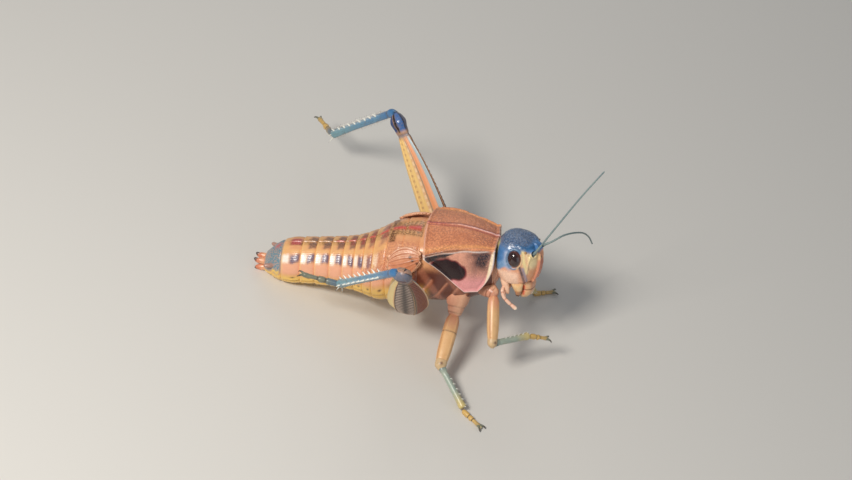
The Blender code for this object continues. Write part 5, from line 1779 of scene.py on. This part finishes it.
def makeHindShin(side, places):
    length = legs["tibia"]["hind"]
    x = chained(-0.85, (2.5, 46), (length - 0.2, 150))
    sizes = (
        (-0.85, 0.15), (-0.7, 0.5), (-0.3, 0.85), (0.5, 1.05), (1.5, 1.1), (2.6, 0.98), (5.0, 0.92),
        (14.0, 0.88), (22.5, 0.98), (24.2, 1.12), (25.0, 1.05), (25.3, 0.7),
    )
    radius = profile(sizes, x) * legs["tibiaRadius"]["hind"]
    radius = np.stack([radius * 0.9, radius], axis=1)
    grid = straightTube(x, radius, 56, 2.3)
    angle = around(56)
    xx = x[:, None]
    rows = bell(np.angle(np.exp(1j * (np.abs(angle - math.pi) - math.pi + 0.75))), 0.24)
    first, span = legs["spineRow"]
    number = (xx / length - first) / span * (legs["spines"] - 1)
    knob = (
        bell(np.abs((number + 0.5) % 1 - 0.5) * 2.1, 0.34) * (number > -0.4)
        * (number < legs["spines"] - 0.6)
    )
    lift = (
        0.17 * rows * knob + 0.05 * rows * soft(0.1, 0.2, xx / length)
        - 0.12 * bell(xx - 2.6, 0.3) * (np.cos(angle) < 0.3) + 0.03 * np.cos(angle * 5) * soft(2.0, 4.0, xx)
    )
    grid = lifted(grid, lift)
    share = xx / length
    grid[..., 2] += shinBend(share)
    masks = {
        "teal": soft(0.35, 0.95, share),
        "pale": rows * soft(0.12, 0.25, share) * 0.85,
        "kneeEnd": 1 - soft(0.1, 0.3, share),
        "dark": (
            np.maximum(bell(xx - 2.2, 0.35) * 0.7, 1 - soft(-0.4, 0.4, xx))
            + 0.25 * soft(0.965, 0.99, share)
        ),
        "hair": soft(0.1, 0.2, share),
    }
    piece = skin(side + "Shin", grid, masks, places["tibia"])
    finished(piece, materials["shin"], "tibia_blue", "tibia_hind_" + side)
    growHair(piece, "tibia_blue")
    roots, leans, sizes = [], [], []
    for number in range(legs["spines"]):
        for sign in (-1, 1):
            where = length * (first + span * number / (legs["spines"] - 1))
            roots.append((where - 0.1, sign * 0.42, 0.42 + shinBend(where / length)))
            leans.append((0.45, sign * 0.75, 1.0))
            uneven = 0.9 + 0.12 * math.sin(number * 2.3 + sign)
            sizes.append((legs["spineWidth"], legs["spineWidth"], legs["spineLength"] * uneven))
    for sign in (-1, 1):
        for height, across, up, reach in legs["spurs"]:
            roots.append((length - 0.9, sign * 0.42, height))
            leans.append((1.0, sign * across, up))
            sizes.append((0.19, 0.19, reach))
    thornPiece(side + "ShinSpines", roots, leans, sizes, places["tibia"], "tibia_blue")


def makeSlimLeg(kind, side, places):
    length, radius = legs["femur"][kind], legs["femurRadius"][kind]
    start = legs["coxaRadii"][kind][1] * 0.45
    x = chained(start, (length * 0.86, 70), (length * 1.09, 44))
    share = (x - start) / (length - start)
    sizes = (
        (-0.02, 0.5), (0.03, 0.74), (0.12, 0.93), (0.4, 1.0), (0.72, 0.95), (0.86, 0.85), (0.94, 0.83),
        (1.0, 0.8), (1.05, 0.64), (1.09, 0.25),
    )
    size = profile(sizes, share) * radius
    grid = straightTube(x, np.stack([size * 0.86, size], axis=1), 56, 2.15)
    angle = around(56)
    s = share[:, None]
    ribs = bell(np.sin(angle), 0.14) + bell(np.sin(angle - 0.95), 0.12) + bell(np.sin(angle + 0.95), 0.12)
    knee = soft(0.88, 0.94, s)
    lift = (
        0.05 * ribs * (1 - knee) * soft(0.05, 0.15, s) - 0.05 * bell(s - 0.9, 0.015)
        + 0.1 * knee * bell(np.cos(angle) + 0.1, 0.5) * (1 - soft(1.0, 1.08, s))
    )
    grid = lifted(grid, lift)
    masks = {
        "blush": (1 - soft(0.1, 0.4, s)) * 0.8,
        "rib": ribs * (1 - knee) * 0.8,
        "shadeLine": bell(np.sin(angle - 0.48), 0.12) * (1 - knee) * soft(0.2, 0.4, s),
        "kneeGrey": knee * 0.6,
        "kneeMark": np.maximum(
            knee * bell(np.abs(np.cos(angle)), 0.3) * bell(s - 0.99, 0.035),
            0.7 * bell(s - 0.36, 0.012) * (kind == "mid"),
        ),
        "hair": 0.6,
    }
    piece = skin(f"{kind}Femur{side}", grid, masks, places["femur"])
    finished(piece, materials["slim"], "leg_tan", f"femur_{kind}_{side}")
    growHair(piece, "leg_tan")
    length, radius = legs["tibia"][kind], legs["tibiaRadius"][kind]
    x = chained(-0.3, (1.6, 24), (length - 0.2, 90))
    sizes = (
        (-0.3, 0.2), (-0.15, 0.6), (0.3, 0.95), (1.0, 1.05), (1.7, 0.9), (4.0, 0.85), (8.0, 0.95),
        (length - 0.7, 1.08), (length - 0.3, 0.95), (length - 0.2, 0.6),
    )
    size = profile(sizes, x) * radius
    grid = straightTube(x, np.stack([size * 0.9, size], axis=1), 40, 2.3)
    angle = around(40)
    share = (x / length)[:, None]
    lift = 0.03 * np.cos(angle * 4) * soft(0.15, 0.3, share) - 0.06 * bell(x[:, None] - 1.7, 0.18)
    grid = lifted(grid, lift)
    masks = {
        "far": soft(0.55, 0.95, share) * 0.8,
        "dark": (1 - soft(0.05, 0.16, share)) * 0.8,
        "hair": share > 0.1,
    }
    piece = skin(f"{kind}Shin{side}", grid, masks, places["tibia"])
    finished(piece, materials["greyShin"], "tibia_grey", f"tibia_{kind}_{side}")
    growHair(piece, "tibia_grey")
    roots, leans, sizes = [], [], []
    for number in range(6):
        for sign in (-1, 1):
            roots.append((length * (0.34 + 0.115 * number), sign * 0.28, -0.42))
            leans.append((0.8, sign * 0.6, -1.0))
            sizes.append((0.1, 0.1, 0.62 + 0.05 * number))
    for sign in (-1, 1):
        roots.append((length - 0.5, sign * 0.4, -0.2))
        leans.append((1.0, sign * 0.6, -0.45))
        sizes.append((0.11, 0.11, 0.8))
    thornPiece(f"{kind}ShinSpines{side}", roots, leans, sizes, places["tibia"], "tibia_grey")


def makeFoot(kind, side, places):
    length = legs["tarsus"][kind]
    size = 0.62 if kind == "hind" else 0.52
    share = chained(-0.02, (0.06, 12), (1.0, 120))
    sizes = (
        (-0.02, 0.3), (0.02, 0.7), (0.08, 0.92), (0.28, 0.98), (0.34, 0.86), (0.365, 0.72), (0.4, 0.84),
        (0.5, 0.92),
        (0.56, 0.8), (0.585, 0.62), (0.63, 0.64), (0.8, 0.68), (0.93, 0.8), (0.98, 0.62), (1.0, 0.25),
    )
    radius = profile(sizes, share) * size
    grid = straightTube(share * length, radius, 40, 2.1)
    angle = around(40)
    s = share[:, None]
    below = soft(0.35, 0.9, -np.cos(angle))
    pads = sum(bell(s - middle, 0.035) for middle in (0.09, 0.19, 0.29, 0.48))
    grid = lifted(grid, 0.16 * pads * below)
    joints = bell(s - 0.365, 0.018) + bell(s - 0.585, 0.018)
    masks = {
        "sun": (0.0 if (kind, side) == ("hind", "right") else 0.85) * (1 - 0.5 * soft(0.6, 1.0, s)),
        "slate": (1 - soft(0.1, 0.5, s)) * (0.9 if kind == "hind" else 0.0),
        "pad": np.clip(pads * below * 1.3, 0, 1),
        "joint": joints,
        "claw": 0.0,
        "hair": 0.8 * (1 - below),
    }
    pieces = [skin(f"{kind}Foot{side}", grid, masks, places["tarsus"])]
    for sign in (-1, 1):
        claw = (
            (length - 0.35, sign * 0.16, 0.05),
            (length + 0.15, sign * 0.42, 0.16),
            (length + 0.6, sign * 0.68, 0.06),
            (length + 0.88, sign * 0.74, -0.2),
        )
        path = curvePoints(claw, 26)
        thick = np.linspace(0.26, 0.05, 26) ** 0.9
        dark = soft(0.3, 0.8, np.linspace(0, 1, 26))[:, None]
        pieces.append(skin("claw", tube(path, thick, 16), {"claw": dark}, places["tarsus"]))
    heel, allPad = (length + 0.16, 0, -0.02), {"pad": lambda unit: 1.0}
    pieces.append(ball("heelPad", heel, (0.34, 0.3, 0.16), places["tarsus"], 16, 24, None, allPad))
    piece = joined(f"{kind}Foot{side}", pieces)
    finished(piece, materials["foot"], "tarsus_shell", f"tarsus_{kind}_{side}")
    growHair(piece, "tarsus_shell")


# bristles on a square millimetre and their length, for each slot that has them
hairs = {
    "leg_tan": (1.2, 0.4),
    "tibia_grey": (3.0, 0.4),
    "tibia_blue": (3.0, 0.6),
    "tarsus_shell": (4.0, 0.3),
    "tail_valve": (5.0, 0.35),
}


def growHair(piece, slot):
    # a second piece of bristles only, so that the first keeps its own material
    count, length = hairs[slot]
    hair = added(piece.name + "Hair", piece.data.copy())
    hair = applyRecipe(hair, bristles, {"Bristles": count, "Length": length, "Material": materials["hair"]})
    finished(hair, materials["hair"], slot)


materials = {
    "coxa": cuticle("coxaShell", coxaLook),
    "thigh": cuticle("thighShell", thighLook),
    "shin": cuticle("shinShell", shinLook),
    "slim": cuticle("slimShell", slimLook),
    "greyShin": cuticle("greyShinShell", greyShinLook),
    "foot": cuticle("footShell", footLook),
    "spine": cuticle("spineShell", spineLook),
    "hair": cuticle(
        "hairShell",
        {"base": (120, 92, 64), "second": (150, 120, 84), "cloud": 2.0, "rough": 0.4, "bump": 0.0},
    ),
}


def makeLegs():
    for kind in ("fore", "mid", "hind"):
        for side in ("left", "right"):
            places = legPlaces(kind, side)
            makeCoxa(kind, side, places)
            if kind == "hind":
                makeThigh(side, places)
                makeHindShin(side, places)
            else:
                makeSlimLeg(kind, side, places)
            makeFoot(kind, side, places)


makeLegs()
print("legs made")

# tail pieces

tail = {
    "cercus": ((-30.7, 2.9, -12.65), (-31.3, 3.3, -12.52), (-31.9, 3.52, -12.45), (-32.45, 3.72, -12.4)),
    "cercusRadii": (0.46, 0.48, 0.42, 0.26),
    "valveStart": (-32.7, 0.8, -13.6),
    # the lower pair lies this much below the upper one
    "valveDrop": -1.5,
    "valveLength": 2.35,
    # share of the length, radius
    "valveRadii": ((0, 0.58), (0.2, 0.66), (0.55, 0.62), (0.78, 0.46), (0.92, 0.28), (1.0, 0.08)),
}
tailLook = {
    "base": (224, 146, 108),
    "second": (206, 120, 88),
    "cloud": 0.9,
    "rough": 0.34,
    "coat": 0.35,
    "relief": 0.04,
    "layers": (
        ("pale", (240, 196, 150), 0.3, 0.0),
        ("dark", (66, 38, 32), 0.3, 0.0),
        ("teal", (110, 138, 142), 0.3, 0.1),
    ),
}


def makeTail():
    material = cuticle("tailShell", tailLook)
    for side, sign in bothSides:
        path = curvePoints(np.array(tail["cercus"]) * np.array((1, sign, 1)), 40)
        along = np.linspace(0, 1, 40)
        radius = profile(tuple(zip(np.linspace(0, 1, 4), tail["cercusRadii"])), along)
        radius = radius * np.sqrt(np.clip(1 - soft(0.86, 1.0, along) * 0.96, 0.02, 1))
        masks = {"teal": 0.5, "dark": (soft(0.85, 1, along) * 0.5)[:, None], "hair": 1.0}
        piece = skin(side + "Cercus", tube(path, radius, 28), masks)
        finished(piece, material, "tail_valve", "cercus_" + side)
        growHair(piece, "tail_valve")
        for name, drop, lift in (("upper", 0.0, 0.2), ("lower", tail["valveDrop"], -0.1)):
            x, y, z = tail["valveStart"]
            along = np.linspace(0, 1, 60)
            bend = (0.4 if name == "upper" else -0.35) * soft(0.55, 1.0, along) ** 2
            path = np.stack(
                [x - tail["valveLength"] * along, sign * (y + 0.1 * along), z + drop + lift * along + bend],
                axis=1,
            )
            thick = profile(tail["valveRadii"], along)
            grid = tube(path, np.stack([thick * 0.92, thick], axis=1), 36)
            angle = around(36)
            edge = bell(np.abs(np.cos(angle / 2 + (0.0 if name == "upper" else math.pi / 2))), 0.25)
            teeth = 0.06 * np.maximum(np.sin(along * 34), 0)[:, None] * edge * (along[:, None] > 0.35)
            groove = -0.07 * bell(np.abs(np.sin(angle)) - 1, 0.05) * within(0.1, 0.8, 0.08, along)[:, None]
            grid = lifted(grid, teeth + groove)
            masks = {
                "pale": within(0.0, 0.45, 0.2, along)[:, None] * 0.5,
                "dark": soft(0.72, 0.92, along)[:, None],
            }
            piece = skin(f"{name}Valve{side}", grid, masks)
            finished(piece, material, "tail_valve", f"valve_{name}_{side}")


makeTail()
print("tail made")

# stage, light and camera

sheet = {"size": 900.0, "colour": (214, 211, 205), "rough": 0.7}
view = {
    "distance": 464.0,
    "side": 10.0,
    "above": 38.0,
    "aimRight": -0.098,
    "aimUp": -3.431,
    "lens": 100.0,
    "sensor": 36.0,
}
room = {
    "tone": (0.9, 0.94, 1.0, 1),
    "strength": 0.26,
    "aimHeight": 15,
    # power, size, place, colour
    "keyLight": (1.3, 90, (-170, -230, 290), (1.0, 0.96, 0.9)),
    "fillLight": (0.14, 260, (300, -180, 120), (0.9, 0.95, 1.0)),
    "backLight": (0.12, 160, (-60, 300, 220), (1.0, 1.0, 1.0)),
}


def makeFloor():
    half, colour = sheet["size"], sheet["colour"]
    corners = [(-half, -half, 0), (half, -half, 0), (half, half, 0), (-half, half, 0)]
    floor = meshPiece("floorSheet", corners, [(0, 1, 2, 3)], None, Matrix.Identity(4))
    look = {
        "base": colour,
        "second": colour,
        "cloud": 40.0,
        "rough": sheet["rough"],
        "coat": 0.0,
        "bump": 0.2,
        "relief": 0.02,
    }
    floor.data.materials.append(cuticle("paleSheet", look))


def makeCamera():
    side, above = math.radians(view["side"]), math.radians(view["above"])
    right = Vector((math.cos(side), math.sin(side), 0))
    up = Vector((-math.sin(side) * math.sin(above), math.cos(side) * math.sin(above), math.cos(above)))
    back = right.cross(up)
    place = back * view["distance"] + right * view["aimRight"] + up * view["aimUp"]
    camera = added("camera", bpy.data.cameras.new("camera"))
    camera.data.lens, camera.data.sensor_width = view["lens"], view["sensor"]
    camera.data.clip_start, camera.data.clip_end = 0.01, 10.0
    world = bodyFrame @ Matrix.Translation(place) @ Matrix((right, up, back)).transposed().to_4x4()
    world.translation *= mm
    camera.matrix_world = world
    bpy.context.scene.camera = camera


def makeLights():
    world = bpy.data.worlds.new("room")
    world.use_nodes = True
    background = world.node_tree.nodes["Background"]
    background.inputs["Color"].default_value = room["tone"]
    background.inputs["Strength"].default_value = room["strength"]
    bpy.context.scene.world = world
    for name in ("keyLight", "fillLight", "backLight"):
        energy, size, spot, tone = room[name]
        light = bpy.data.lights.new(name, "AREA")
        light.energy, light.size, light.color = energy, size * mm, tone
        lamp = added(name, light)
        lamp.location = Vector(spot) * mm
        aim = Vector(spot) - Vector((0, 0, room["aimHeight"]))
        lamp.rotation_euler = aim.to_track_quat("Z", "Y").to_euler()


makeFloor()
makeCamera()
makeLights()
bpy.context.scene.view_settings.view_transform = "Standard"
print("stage made")
